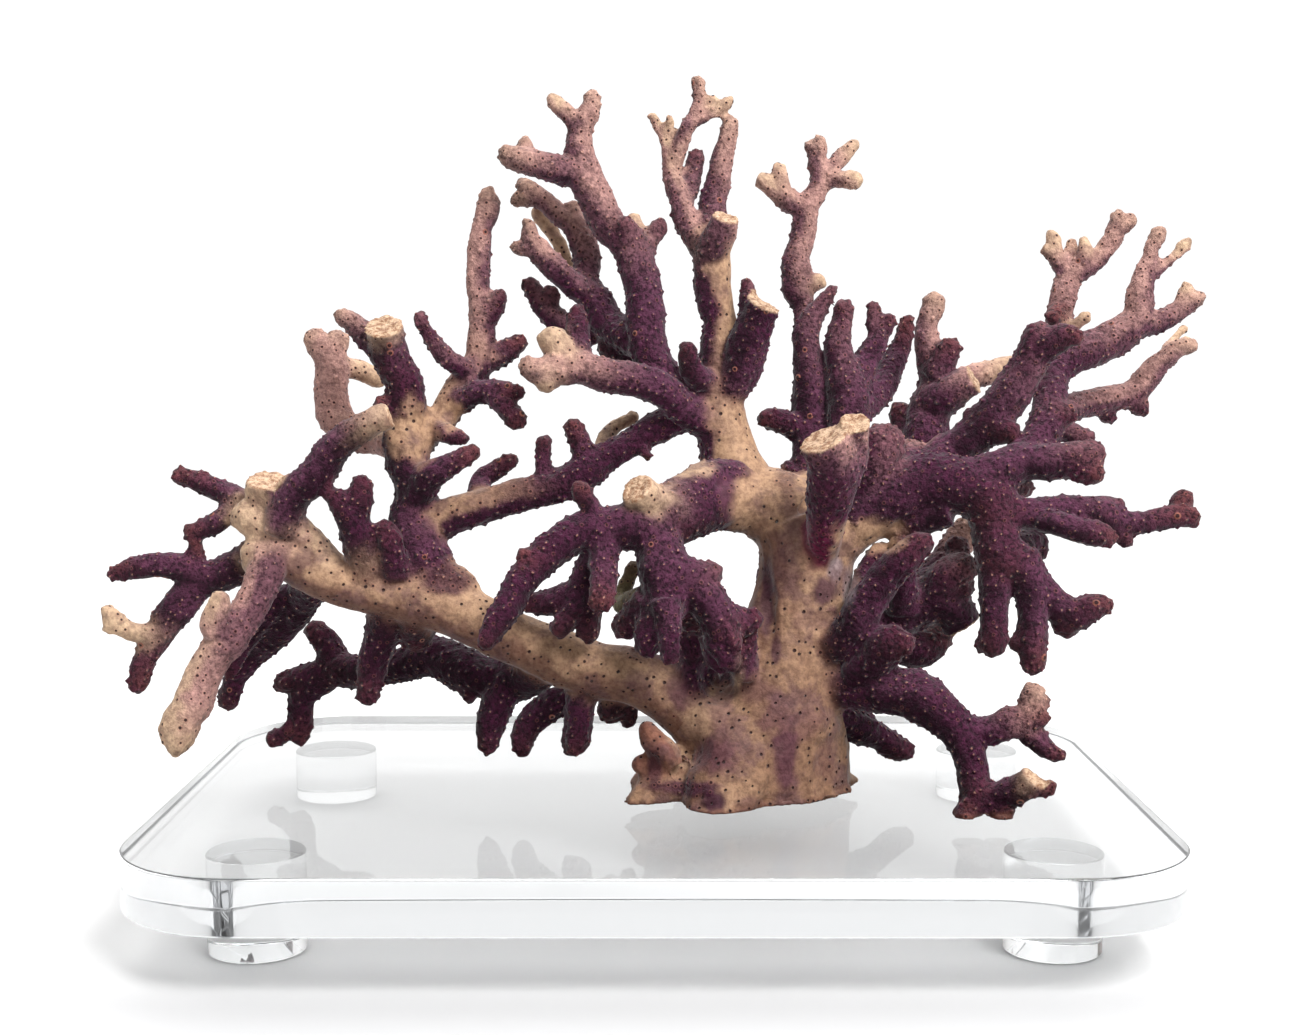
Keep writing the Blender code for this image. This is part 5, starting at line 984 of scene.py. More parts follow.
@dataclass
class CoralPiece:
    """Limbs of the coral that are fused into one skin."""

    name: str
    limbs: tuple
    slot: str
    sleeves: tuple = ()
    voxel: float = 0.58
    seed: int = 1
    relief: CoralRelief = field(default_factory=CoralRelief)
    shares: SpotShares = field(default_factory=SpotShares)
    seat_taper: tuple = (0.86, 0.95)
    sleeve_taper: tuple = (0.99, 0.80)
    box_margin: float = 0.02

    def grown(self) -> list[tuple[str, Branch, Rows]]:
        """Lay out every branch. A limb that sits on another piece starts a little slimmer, and a sleeve,
        which is the root of a limb of another piece, ends slimmer.

        Returns:
            Each branch's limb, the branch and its path.
        """
        paths = []
        for limb in self.limbs:
            for index, branch in enumerate(LIMBS[limb]):
                points = np.array(branch.points, float)
                if limb in SEATED and index == 0:
                    points[:2, 3] *= self.seat_taper
                paths.append((limb, branch, carried_path(points)))
        for limb in self.sleeves:
            branch = LIMBS[limb][0]
            points = np.array(branch.points[:3], float)
            points[1:3, 3] *= self.sleeve_taper
            sleeve = Branch(branch.coat, End.BURIED, tuple(map(tuple, points)))
            paths.append((limb, sleeve, carried_path(points)))
        return paths

    def fused(self, paths: list) -> Piece:
        """One skin round all the tubes, flat where the coral is cut.

        Args:
            paths: what grown gives.

        Returns:
            The object, its skin all quads, in mm.
        """
        points, faces, start = [], [], 0
        for _, branch, path in paths:
            rings, rows = tube(rounded_off(path) if branch.end is End.GROWN else path)
            rings[:, 2] = np.maximum(rings[:, 2], CORAL_CUT)
            points.append(rings)
            faces.extend([[corner + start for corner in row] for row in rows])
            start += len(rings)
        raw = placed(self.name, np.vstack(points), faces)
        mesh = raw.data
        fuse = raw.modifiers.new("fuse", "REMESH")
        fuse.mode = "VOXEL"
        fuse.voxel_size = self.voxel
        graph = bpy.context.evaluated_depsgraph_get()
        skin = bpy.data.meshes.new_from_object(raw.evaluated_get(graph))
        raw.modifiers.clear()
        raw.data = skin
        bpy.data.meshes.remove(mesh)
        skin.name = self.name
        return raw

    def filled(self, places: Rows, quads: Rows, edges: Rows) -> Rows:
        """Ease the skin, then fill the forks: a point moves out towards its neighbours' mean, never in.

        Args:
            places: rows of x, y and z, in mm.
            quads: rows of four points' numbers.
            edges: rows of two points' numbers.

        Returns:
            The moved places.
        """
        for _ in range(self.relief.ease_rounds):
            places = places + self.relief.ease_share * (mean_of_neighbours(places, edges) - places)
        for _ in range(self.relief.fork_rounds):
            normals = point_normals(places, quads)
            lift = np.sum((mean_of_neighbours(places, edges) - places) * normals, axis=1, keepdims=True)
            places = places + self.relief.fork_share * np.maximum(lift, 0.0) * normals
        return places

    def coats(self, places: Rows, paths: list) -> Rows:
        """Each point's coat, blended from the paths near it by exp(-distance from their surface).

        Args:
            places: rows of x, y and z, in mm.
            paths: what grown gives.

        Returns:
            Rows of bare colour and wartiness, flank colour and wartiness, tip colour and tip, the colours
            of the tip already multiplied by it.
        """
        samples, coats = [], []
        for limb, branch, path in paths:
            along = np.concatenate([[0.0], np.cumsum(np.linalg.norm(np.diff(path[:, :3], axis=0), axis=1))])
            turn = branch.coat.value[4]
            share = smooth_step(turn - TURN_HALF, turn + TURN_HALF, along / along[-1])[:, None]
            bare_root, bare_end, flank_root, flank_end = (np.array(tone.value)
                                                          for tone in branch.coat.value[:4])
            reach = np.exp(-(along[-1] - along) / TIP_REACH)[:, None] * (branch.end is End.GROWN)
            pale = branch.coat.value[1] in PALE_ENDS
            end = np.array((Tone.CREAM if pale else Tone.RUST).value)[:3]
            coats.append(np.hstack([bare_root + (bare_end - bare_root) * share,
                                    flank_root + (flank_end - flank_root) * share, end * reach, reach,
                                    np.broadcast_to(FLANKS.get(limb, FLANK), (len(path), 3))]))
            samples.append(path)
        samples, coats = np.vstack(samples).astype(np.float32), np.vstack(coats).astype(np.float32)
        blended = np.empty((len(places), coats.shape[1]), np.float32)
        for start in range(0, len(places), BATCH):
            rows = places[start:start + BATCH].astype(np.float32)
            apart = (np.sum(rows ** 2, axis=1)[:, None] + np.sum(samples[:, :3] ** 2, axis=1)
                     - 2.0 * rows @ samples[:, :3].T)
            apart = np.sqrt(np.maximum(apart, 0.0)) - samples[:, 3]
            weight = np.exp(-(apart - apart.min(axis=1, keepdims=True)) / BLEND_REACH)
            blended[start:start + BATCH] = weight @ coats / weight.sum(axis=1, keepdims=True)
        return blended.astype(float)

    def breaks(self, places: Rows, paths: list) -> tuple[Rows, Rows]:
        """Find the points on broken ends.

        Args:
            places: rows of x, y and z, in mm.
            paths: what grown gives.

        Returns:
            How much each point is on a broken end, and how far out it is on that face, both from 0 to 1.
        """
        broken, out = np.zeros(len(places)), np.zeros(len(places))
        for _, branch, path in paths:
            if branch.end is not End.BROKEN:
                continue
            heading = path[-1, :3] - path[-2, :3]
            heading /= np.linalg.norm(heading)
            beyond = (places - path[-1, :3]) @ heading
            away = np.linalg.norm(places - path[-1, :3] - beyond[:, None] * heading, axis=1) / path[-1, 3]
            here = smooth_step(-0.75, -0.25, beyond) * (away < 1.15) * (beyond < 3.0)
            out = np.where(here > broken, away, out)
            broken = np.maximum(broken, here)
        return broken, out

    def build(self) -> Piece:
        """Fuse the tubes, fill the forks, raise the relief, and leave what the finish reads as attributes.

        Returns:
            The finished object, without its material.
        """
        paths = self.grown()
        piece = self.fused(paths)
        mesh = piece.data
        count = len(mesh.vertices)
        places = np.empty(count * 3)
        mesh.vertices.foreach_get("co", places)
        places = places.reshape(-1, 3)
        quads = np.empty(len(mesh.loops), np.int64)
        mesh.loops.foreach_get("vertex_index", quads)
        quads = quads.reshape(-1, 4)
        edges = np.empty(len(mesh.edges) * 2, np.int64)
        mesh.edges.foreach_get("vertices", edges)
        places = self.filled(places, quads, edges.reshape(-1, 2))
        places = self.dented(places, point_normals(places, quads))
        normals = point_normals(places, quads)
        wander = np.stack([1.6 * ripple(places, 4.0, seed) + 0.7 * ripple(places, 1.5, seed + 3)
                           for seed in (61, 62, 63)], axis=1)
        coats = self.coats(places + wander, paths)
        # The flank tone goes on the side that faces the flank direction: partly the branch's own second
        # tone, partly painted shade.
        side = np.sum(normals * coats[:, 12:15], axis=1)
        flank = smooth_step(-0.22, 0.42, side + 0.35 * ripple(places, 7.0, 5)
                            + 0.22 * ripple(places, 2.0, 6))[:, None]
        skin = coats[:, :4] * (1.0 - flank) + coats[:, 4:8] * flank
        reach = np.clip(coats[:, 11:12], 0.0, 1.0)
        skin[:, :3] += 0.55 * (coats[:, 8:11] - skin[:, :3] * reach)
        skin = self.with_stains_and_painted_light(skin, places, normals)
        broken, out = self.breaks(places, paths)
        places, spots = self.raised(places, normals, skin[:, 3], reach[:, 0], broken, out)
        low, high = (np.array(corner) / MM for corner in CAD_BOX)
        places = np.clip(places, low + self.box_margin, high - self.box_margin)
        mesh.vertices.foreach_set("co", (places * MM).ravel())
        holders = {"FLOAT_VECTOR": "vector", "FLOAT_COLOR": "color", "FLOAT": "value"}
        # The skin tone holds the coral's own colours and its painted shade and highlight.
        on_points = [("skin_and_painted_light", "FLOAT_COLOR", skin), ("broken", "FLOAT", broken[:, None])]
        for domain, kept in (("POINT", on_points), ("FACE", spots.on_faces(places, quads))):
            for label, kind, values in kept:
                stored = mesh.attributes.new(label, kind, domain)
                stored.data.foreach_set(holders[kind], values.astype(np.float32).ravel())
        mesh.shade_smooth()
        mesh.update()
        LOG.info("%s: %d triangles", self.name, 2 * len(mesh.polygons))
        return piece

    def dented(self, places: Rows, normals: Rows) -> Rows:
        """Press each dent into the side that faces the viewpoint: depth * (1 - d^2)^2, with d the distance
        from its middle over its half width and height, on axes leant to the right.

        Args:
            places: rows of x, y and z, in mm.
            normals: their outward directions.

        Returns:
            The moved places.
        """
        seen = VIEW.onto_plane(places)
        facing = smooth_step(-0.1, 0.4, -(normals @ VIEW.axes()[2]))
        for dent in DENTS:
            off = seen[:, :2] - (dent.across, dent.up)
            cos, sin = math.cos(dent.lean), math.sin(dent.lean)
            ways = np.stack([off[:, 0] * cos - off[:, 1] * sin, off[:, 0] * sin + off[:, 1] * cos], axis=1)
            near = np.sum((ways / (dent.wide, dent.high)) ** 2, axis=1)
            depth = dent.depth * np.maximum(1.0 - near, 0.0) ** 2 * facing * (seen[:, 2] < dent.back_to)
            places = places - normals * depth[:, None]
        return places

    def with_stains_and_painted_light(self, skin: Rows, places: Rows, normals: Rows) -> Rows:
        """Lay each patch that reaches this piece on the points that face the viewpoint: the coral's own
        stains, and painted shade and highlight. Then a thin brown rim just above the cut.

        Args:
            skin: rows of red, green, blue and wartiness.
            places: rows of x, y and z, in mm.
            normals: their outward directions.

        Returns:
            The stained rows.
        """
        seen = VIEW.onto_plane(places)
        facing = smooth_step(-0.25, 0.25, -(normals @ VIEW.axes()[2]))
        wobble = 0.28 * ripple(places, 3.2, 17) + 0.15 * ripple(places, 1.3, 18)
        for patch in STAINS_AND_PAINTED_LIGHT:
            ways = (seen[:, :2] - (patch.across, patch.up)) / (patch.wide, patch.high)
            amount = 1.0 - smooth_step(0.55, 1.25, np.linalg.norm(ways, axis=1) + wobble)
            amount = (patch.strength * amount * facing * (seen[:, 2] < patch.back_to))[:, None]
            skin = skin + amount * (np.array(patch.tone.value) - skin)
        above = places[:, 2] - CORAL_CUT + 0.7 * ripple(places, 2.4, 19)
        rim = 1.0 - smooth_step(0.5, 1.7, above)[:, None]
        return skin + 0.75 * rim * (np.array(Tone.BROWN.value) * 0.62 - skin)

    def raised(self, places: Rows, normals: Rows, warty: Rows, reach: Rows, broken: Rows,
               out: Rows) -> tuple[Rows, Spots]:
        """Raise the skin along its normals.

        A wart is height * (1 - q^2)^2, with q the distance from its middle over its radius, less a dip of
        the same form where it has a hole. A pore is such a dip alone. Knobs swell the grown tips. The
        outline is ragged at the cut, and upright flutes run up the back of the foot.

        Args:
            places: rows of x, y and z, in mm.
            normals: their outward directions.
            warty: how warty each point is, from 0 to 1.
            reach: how near each point is to a grown tip, from 0 to 1.
            broken: how much each point is on a broken end.
            out: how far out it is on that end.

        Returns:
            The raised points and their spots.
        """
        relief, shares = self.relief, self.shares
        lattice = SpotField(relief.spot_spacing, self.seed)
        chosen = lattice.spread(places)
        nearest, way = lattice.nearest(places, chosen)
        dice = np.random.default_rng(self.seed + 50).random((len(chosen), 5))
        wart = warty[chosen] + shares.spread * (dice[:, 0] - 0.5)
        rough = wart > shares.rough_from
        rosy = rough & (wart < shares.dark_from)
        pale = (wart > shares.pale_from) & ~rough
        bare = ~rough & ~pale
        there = np.where(rough, np.where(rosy, shares.rosy, shares.dark),
                         np.where(pale, shares.pale, shares.pores))
        present = (dice[:, 1] < there) & (broken[chosen] < 0.2)
        ring = rough & (dice[:, 2] > shares.ringed_above)
        hole = np.where(rosy, dice[:, 3] < shares.rosy_holed,
                        pale | (rough & (dice[:, 3] < shares.dark_holed)))
        glint = rough & ~hole & (dice[:, 4] > shares.dull)
        size = np.where(bare, relief.pore_radius * (0.75 + 0.5 * dice[:, 2]),
                        relief.wart_radius * (0.75 + 0.4 * dice[:, 3]) * np.where(ring, 1.3, 1.0))
        height = np.where(bare, -relief.pore_depth, relief.wart_height * (0.6 + 0.8 * dice[:, 4])
                          * np.where(pale, 0.6, 1.0))
        q = np.linalg.norm(way, axis=1) / size[nearest]
        bump = np.maximum(1.0 - q ** 2, 0.0) ** 2
        dip = np.maximum(1.0 - (q / 0.5) ** 2, 0.0) ** 2 * (hole | ring)[nearest]
        lift = (present * height)[nearest] * (bump - 0.75 * dip)
        knobs = SpotField(relief.knob_spacing, self.seed + 9)
        tops = knobs.spread(places)
        q_knob = np.linalg.norm(knobs.nearest(places, tops)[1], axis=1) / relief.knob_radius
        lift += relief.knob_height * np.maximum(1.0 - q_knob ** 2, 0.0) ** 2 * reach * (warty > 0.1)
        lift += relief.swell * (ripple(places, 6.5, 31) + 0.6 * ripple(places, 3.0, 32))
        lift += 1.6 * relief.swell * ripple(places, 17.0, 34)
        lift += relief.grain * (0.4 + warty) * ripple(places, 1.4, 33)
        crumble = 0.34 * ripple(places, 1.6, 41) + 0.2 * ripple(places, 0.8, 42) - 0.45 * (1.0 - out)
        lift = lift * (1.0 - broken) + broken * (crumble - 0.1)
        above = places[:, 2] - CORAL_CUT
        raised = places + normals * (lift * smooth_step(0.0, 1.6, above))[:, None]
        raised[:, 2] = np.where(above < 0.35, CORAL_CUT, np.maximum(raised[:, 2], CORAL_CUT))
        ragged = relief.ragged * (ripple(places, 3.4, 43) + 0.5 * ripple(places, 1.5, 44))
        raised[:, :2] += (ragged * (1.0 - smooth_step(0.0, 3.0, above)))[:, None] * normals[:, :2]
        behind = smooth_step(0.0, 0.5, normals @ VIEW.axes()[2]) * (1.0 - smooth_step(35.0, 60.0, above))
        flutes = relief.flute * ripple(places * (1.0, 1.0, 0.2), 10.0, 35)
        raised[:, :2] += (flutes * behind)[:, None] * normals[:, :2]
        kinds = np.stack([hole, glint, bare, ring], axis=1) * present[:, None]
        return raised, Spots(raised[chosen], size, kinds, nearest)


class NodeGraph:
    """A material's nodes, made and joined in few words."""

    def __init__(self, name: str) -> None:
        """Start an empty material.

        Args:
            name: the material's name.
        """
        self.material = bpy.data.materials.new(name)
        self.material.use_nodes = True
        self.tree = self.material.node_tree
        self.shader = self.tree.nodes["Principled BSDF"]

    def node(self, kind: str, inputs: dict | None = None, **settings: str) -> bpy.types.Node:
        """Add a node and set it up.

        Args:
            kind: the node's type.
            inputs: what each input is set to or linked with.
            settings: the node's own options.

        Returns:
            The node.
        """
        made = self.tree.nodes.new(kind)
        for key, value in settings.items():
            setattr(made, key, value)
        for key, value in (inputs or {}).items():
            self.feed(made.inputs[key], value)
        return made

    def feed(self, socket: Socket, value: Value) -> None:
        """Link a socket to another, or set it to a plain value.

        Args:
            socket: the input.
            value: an output, or a number or tuple.
        """
        if isinstance(value, Socket):
            self.tree.links.new(value, socket)
        else:
            socket.default_value = value

    def attribute(self, name: str, output: str = "Color") -> Socket:
        """An attribute of the mesh."""
        return self.node("ShaderNodeAttribute", attribute_name=name).outputs[output]

    def math(self, operation: str, *values: Value, clamp: bool = False) -> Socket:
        """A sum, product or other operation on numbers.

        Args:
            operation: the operation's name.
            values: the numbers or outputs it takes.
            clamp: whether the result stays within 0 and 1.

        Returns:
            The result.
        """
        made = self.node("ShaderNodeMath", dict(enumerate(values)), operation=operation)
        made.use_clamp = clamp
        return made.outputs[0]

    def times(self, first: Value, second: Value) -> Socket:
        """The product of two numbers."""
        return self.math("MULTIPLY", first, second)

    def fade(self, value: Value, low: float, high: float, to_low: float = 0.0,
             to_high: float = 1.0) -> Socket:
        """Ease a value from one range into another, held at its ends."""
        return self.node("ShaderNodeMapRange", {0: value, 1: low, 2: high, 3: to_low, 4: to_high},
                         interpolation_type="SMOOTHSTEP").outputs[0]

    def mix(self, share: Value, first: Value, second: Value, blend: str = "MIX") -> Socket:
        """Blend two colours.

        Args:
            share: how much of the second.
            first: a colour of three parts, or an output.
            second: the same.
            blend: the way they blend.

        Returns:
            The blended colour.
        """
        made = self.node("ShaderNodeMix", data_type="RGBA", blend_type=blend)
        for socket, value in ((made.inputs[0], share), (made.inputs[6], first), (made.inputs[7], second)):
            self.feed(socket, (*value, 1.0) if isinstance(value, tuple) else value)
        return made.outputs[2]

    def here(self) -> Socket:
        """The object's own coordinates."""
        return self.node("ShaderNodeTexCoord").outputs["Object"]

    def noise(self, size: float, detail: float = 3.0, rough: float = 0.55) -> Socket:
        """Noise whose lumps are that many mm across, on the object's own coordinates."""
        return self.node("ShaderNodeTexNoise", {"Vector": self.here(), "Scale": 1.0 / (size * MM),
                                                "Detail": detail, "Roughness": rough}).outputs[0]


@dataclass(frozen=True)
class CoralFinish:
    """The coral's dry skin: mottled tones, holes and pores in painted shade, warts whose pale tips are
    partly a painted highlight, painted shade in the creases, and crumbly broken ends.
    """

    name: str = "dry_coral"
    # hole and pore: painted shade inside the holes and pores.
    hole: tuple = (0.022, 0.008, 0.010)
    pore: tuple = (0.032, 0.012, 0.012)
    # glint: the warts' pale tips, partly their own paler colour, partly a painted highlight.
    glint: tuple = (0.52, 0.27, 0.20)
    ring: tuple = (0.30, 0.11, 0.08)
    fleck: tuple = (0.25, 0.10, 0.17)
    # Painted shade in the creases and between the warts.
    crevice_shade: tuple = (0.010, 0.002, 0.006)
    cloud: tuple = (0.135, 0.068, 0.070)
    broken_light: tuple = (0.66, 0.46, 0.31)
    broken_dark: tuple = (0.27, 0.135, 0.075)
    mottle_light: tuple = (1.18, 1.17, 1.15)
    mottle_dark: tuple = (0.70, 0.65, 0.66)
    sheen: float = 0.12
    relief_depth: float = 0.75

    def material(self) -> bpy.types.Material:
        """The skin tone under clouds and mottles, then painted shade in the creases and between the warts,
        flecks, rings, glints that are partly a painted highlight, holes and pores in painted shade, and
        breaks, one over another.

        Returns:
            The material.
        """
        graph = NodeGraph(self.name)
        skin_and_painted_light = graph.node("ShaderNodeAttribute", attribute_name="skin_and_painted_light")
        tone, warty = skin_and_painted_light.outputs["Color"], skin_and_painted_light.outputs["Alpha"]
        kinds = graph.node("ShaderNodeAttribute", attribute_name="spot_kind")
        split = graph.node("ShaderNodeSeparateColor", {0: kinds.outputs["Color"]})
        hole, glint, pore, ring = (*split.outputs[:3], kinds.outputs["Alpha"])
        apart = graph.node("ShaderNodeVectorMath",
                           {0: graph.here(), 1: graph.attribute("spot_at", "Vector")},
                           operation="DISTANCE").outputs["Value"]
        q = graph.math("DIVIDE", apart, graph.attribute("spot_size", "Fac"))
        broken = graph.attribute("broken", "Fac")
        bare = graph.fade(warty, 0.1, 0.5, 1.0, 0.0)
        clouds = graph.noise(9.0, 5.0, 0.62)
        mottle = graph.noise(1.8, 5.0, 0.65)
        grit = graph.noise(0.5, 3.0, 0.6)
        wrinkle = graph.noise(0.9, 4.0, 0.6)
        shade = graph.mix(graph.fade(mottle, 0.32, 0.68), self.mottle_dark, self.mottle_light)
        cloudy = graph.times(graph.fade(clouds, 0.46, 0.64, 0.0, 0.70), bare)
        color = graph.mix(1.0, graph.mix(cloudy, tone, self.cloud), shade, "MULTIPLY")
        rim = graph.times(graph.fade(q, 0.35, 0.55), graph.fade(q, 0.65, 0.95, 1.0, 0.0))
        ragged = graph.math("ADD", q, graph.fade(grit, 0.3, 0.7, -0.16, 0.22))
        fibres = graph.noise(1.4, 6.0, 0.75)
        face = graph.mix(graph.fade(fibres, 0.40, 0.60), self.broken_dark, self.broken_light)
        for share, laid in (
            # Painted shade in the wrinkles' hollows and between the warts.
            (graph.times(graph.fade(wrinkle, 0.36, 0.54, 0.8, 0.0),
                         graph.fade(warty, 0.6, 0.95, 0.12, 1.0)), self.crevice_shade),
            (graph.times(graph.fade(q, 0.65, 1.15, 0.0, 0.30), warty), self.crevice_shade),
            (graph.times(graph.fade(grit, 0.58, 0.72, 0.0, 0.25), warty), self.fleck),
            (graph.times(rim, graph.math("MAXIMUM", ring, graph.times(hole, 0.25))), self.ring),
            # Glints: partly the warts' own pale tips, partly a painted highlight.
            (graph.times(graph.fade(ragged, 0.18, 0.42, 0.75, 0.0), glint), self.glint),
            # Holes and pores darkened with painted shade.
            (graph.times(graph.fade(q, 0.34, 0.52, 0.95, 0.0),
                         graph.math("MAXIMUM", hole, ring)), self.hole),
            (graph.times(graph.fade(q, 0.78, 1.0, 0.95, 0.0), pore), self.pore),
            (broken, face),
        ):
            color = graph.mix(share, color, laid)
        graph.feed(graph.shader.inputs["Base Color"], color)
        graph.feed(graph.shader.inputs["Roughness"], graph.fade(mottle, 0.3, 0.7, 0.42, 0.62))
        graph.shader.inputs["Specular IOR Level"].default_value = self.sheen
        height = graph.math("ADD", graph.times(wrinkle, graph.fade(warty, 0.0, 1.0, 0.30, 1.2)),
                            graph.times(grit, graph.fade(warty, 0.0, 1.0, 0.15, 0.6)))
        dots = graph.times(graph.fade(q, 0.3, 1.0, 1.0, 0.0),
                           graph.times(graph.math("SUBTRACT", glint, pore), 0.6))
        bump = graph.node("ShaderNodeBump", {"Strength": 1.0, "Distance": self.relief_depth * MM,
                                             "Height": graph.math("ADD", height, dots)})
        graph.feed(graph.shader.inputs["Normal"], bump.outputs[0])
        return graph.material


@dataclass(frozen=True)
class AcrylicFinish:
    """Polished clear acrylic: light passes, bends by its index and loses a little on the way."""

    name: str = "clear_acrylic"
    ior: float = 1.49
    tint: tuple = (0.985, 0.992, 0.994)
    density: float = 8.0
    absorb: tuple = (0.88, 0.885, 0.89)
    roughest: float = 0.02

    def material(self) -> bpy.types.Material:
        """A smooth transmitting shader with the faintest variation in its polish.

        Returns:
            The material.
        """
        graph = NodeGraph(self.name)
        for socket, value in (("Base Color", (*self.tint, 1.0)), ("Transmission Weight", 1.0),
                              ("IOR", self.ior)):
            graph.shader.inputs[socket].default_value = value
        polish = graph.fade(graph.noise(30.0, 2.0), 0.3, 0.7, 0.0, self.roughest)
        graph.feed(graph.shader.inputs["Roughness"], polish)
        inside = graph.node("ShaderNodeVolumeAbsorption",
                            {"Color": (*self.absorb, 1.0), "Density": self.density})
        output = graph.tree.nodes["Material Output"]
        graph.tree.links.new(inside.outputs[0], output.inputs["Volume"])
        return graph.material


@dataclass
class AcrylicStand:
    """The stand: a rounded slab on four round feet, in mm."""

    width: float = 236.0
    depth: float = 170.0
    thickness: float = 12.7
    corner: float = 30.0
    edge: float = 0.5
    foot_diameter: float = 22.2
    foot_height: float = 12.7
    foot_across: float = 89.5
    foot_back: float = 51.5
    foot_edge: float = 0.4
    gap: float = 0.3
    corner_points: int = 33
    foot_points: int = 96
    rim_points: int = 5
    tight: float = 0.08
    finish: AcrylicFinish = field(default_factory=AcrylicFinish)

    def slab_outline(self, inset: float) -> Rows:
        """The rounded rectangle: quarter circles about four centres, shrunk by the inset.

        Args:
            inset: how far inside the slab's edge, in mm.

        Returns:
            Rows of x and y.
        """
        turns = np.linspace(0.0, np.pi / 2, self.corner_points)
        radius = self.corner - inset
        parts = []
        for quarter, (x, y) in enumerate(((1, 1), (-1, 1), (-1, -1), (1, -1))):
            angles = turns + quarter * np.pi / 2
            centre = (x * (self.width / 2 - self.corner), y * (self.depth / 2 - self.corner))
            parts.append(np.stack([centre[0] + radius * np.cos(angles),
                                   centre[1] + radius * np.sin(angles)], axis=1))
        return np.vstack(parts)

    def foot_outline(self, inset: float) -> Rows:
        """A circle, shrunk by the inset."""
        angles = np.linspace(0.0, 2 * np.pi, self.foot_points, endpoint=False)
        return (self.foot_diameter / 2 - inset) * np.stack([np.cos(angles), np.sin(angles)], axis=1)

    def turned(self, name: str, outline: Callable[[float], Rows], middle: tuple, low: float, high: float,
               edge: float) -> Piece:
        """An outline raised from low to high, its rims eased by quarter circles of the edge's radius.

        Args:
            name: the object's name.
            outline: gives the outline at an inset.
            middle: its x and y, in mm.
            low: the bottom's height, in mm.
            high: the top's height, in mm.
            edge: the rims' radius, in mm.

        Returns:
            The object, its flat faces flat and its walls smooth, with tight rows beside each rim.
        """
        bend = np.linspace(0.0, np.pi / 2, self.rim_points)
        rim = np.stack([edge * (1 - np.sin(bend)), edge * (1 - np.cos(bend))], axis=1)
        rim = np.vstack([[edge + self.tight, 0.0], rim, [0.0, edge + self.tight]])
        levels = np.vstack([np.stack([rim[:, 0], low + rim[:, 1]], axis=1),
                            np.stack([rim[::-1, 0], high - rim[::-1, 1]], axis=1)])
        rings = [np.column_stack([outline(inset) + middle, np.full(len(outline(0.0)), z)])
                 for inset, z in levels]
        faces = ring_faces(len(rings), len(rings[0]))
        piece = placed(name, np.vstack(rings) * MM, faces)
        smooth = np.ones(len(faces), bool)
        smooth[-2:] = False
        piece.data.polygons.foreach_set("use_smooth", smooth)
        return piece

    def build(self) -> None:
        """Make the slab and the feet, in place of their plain solids."""
        acrylic = self.finish.material()
        bottom = self.foot_height + self.gap
        made = [(self.turned("acrylic_slab", self.slab_outline, (0.0, 0.0), bottom,
                             bottom + self.thickness, self.edge), "base_plate")]
        for side, x in (("left", -1), ("right", 1)):
            for end, y in (("front", -1), ("back", 1)):
                middle = (x * self.foot_across, y * self.foot_back)
                made.append((self.turned(f"acrylic_foot_{end}_{side}", self.foot_outline, middle, 0.0,
                                         self.foot_height, self.foot_edge), f"foot_{end}_{side}"))
        for piece, node in made:
            piece.data.materials.append(acrylic)
            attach(piece, BODY)
            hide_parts(node)
            LOG.info("%s in place of %s", piece.name, node)


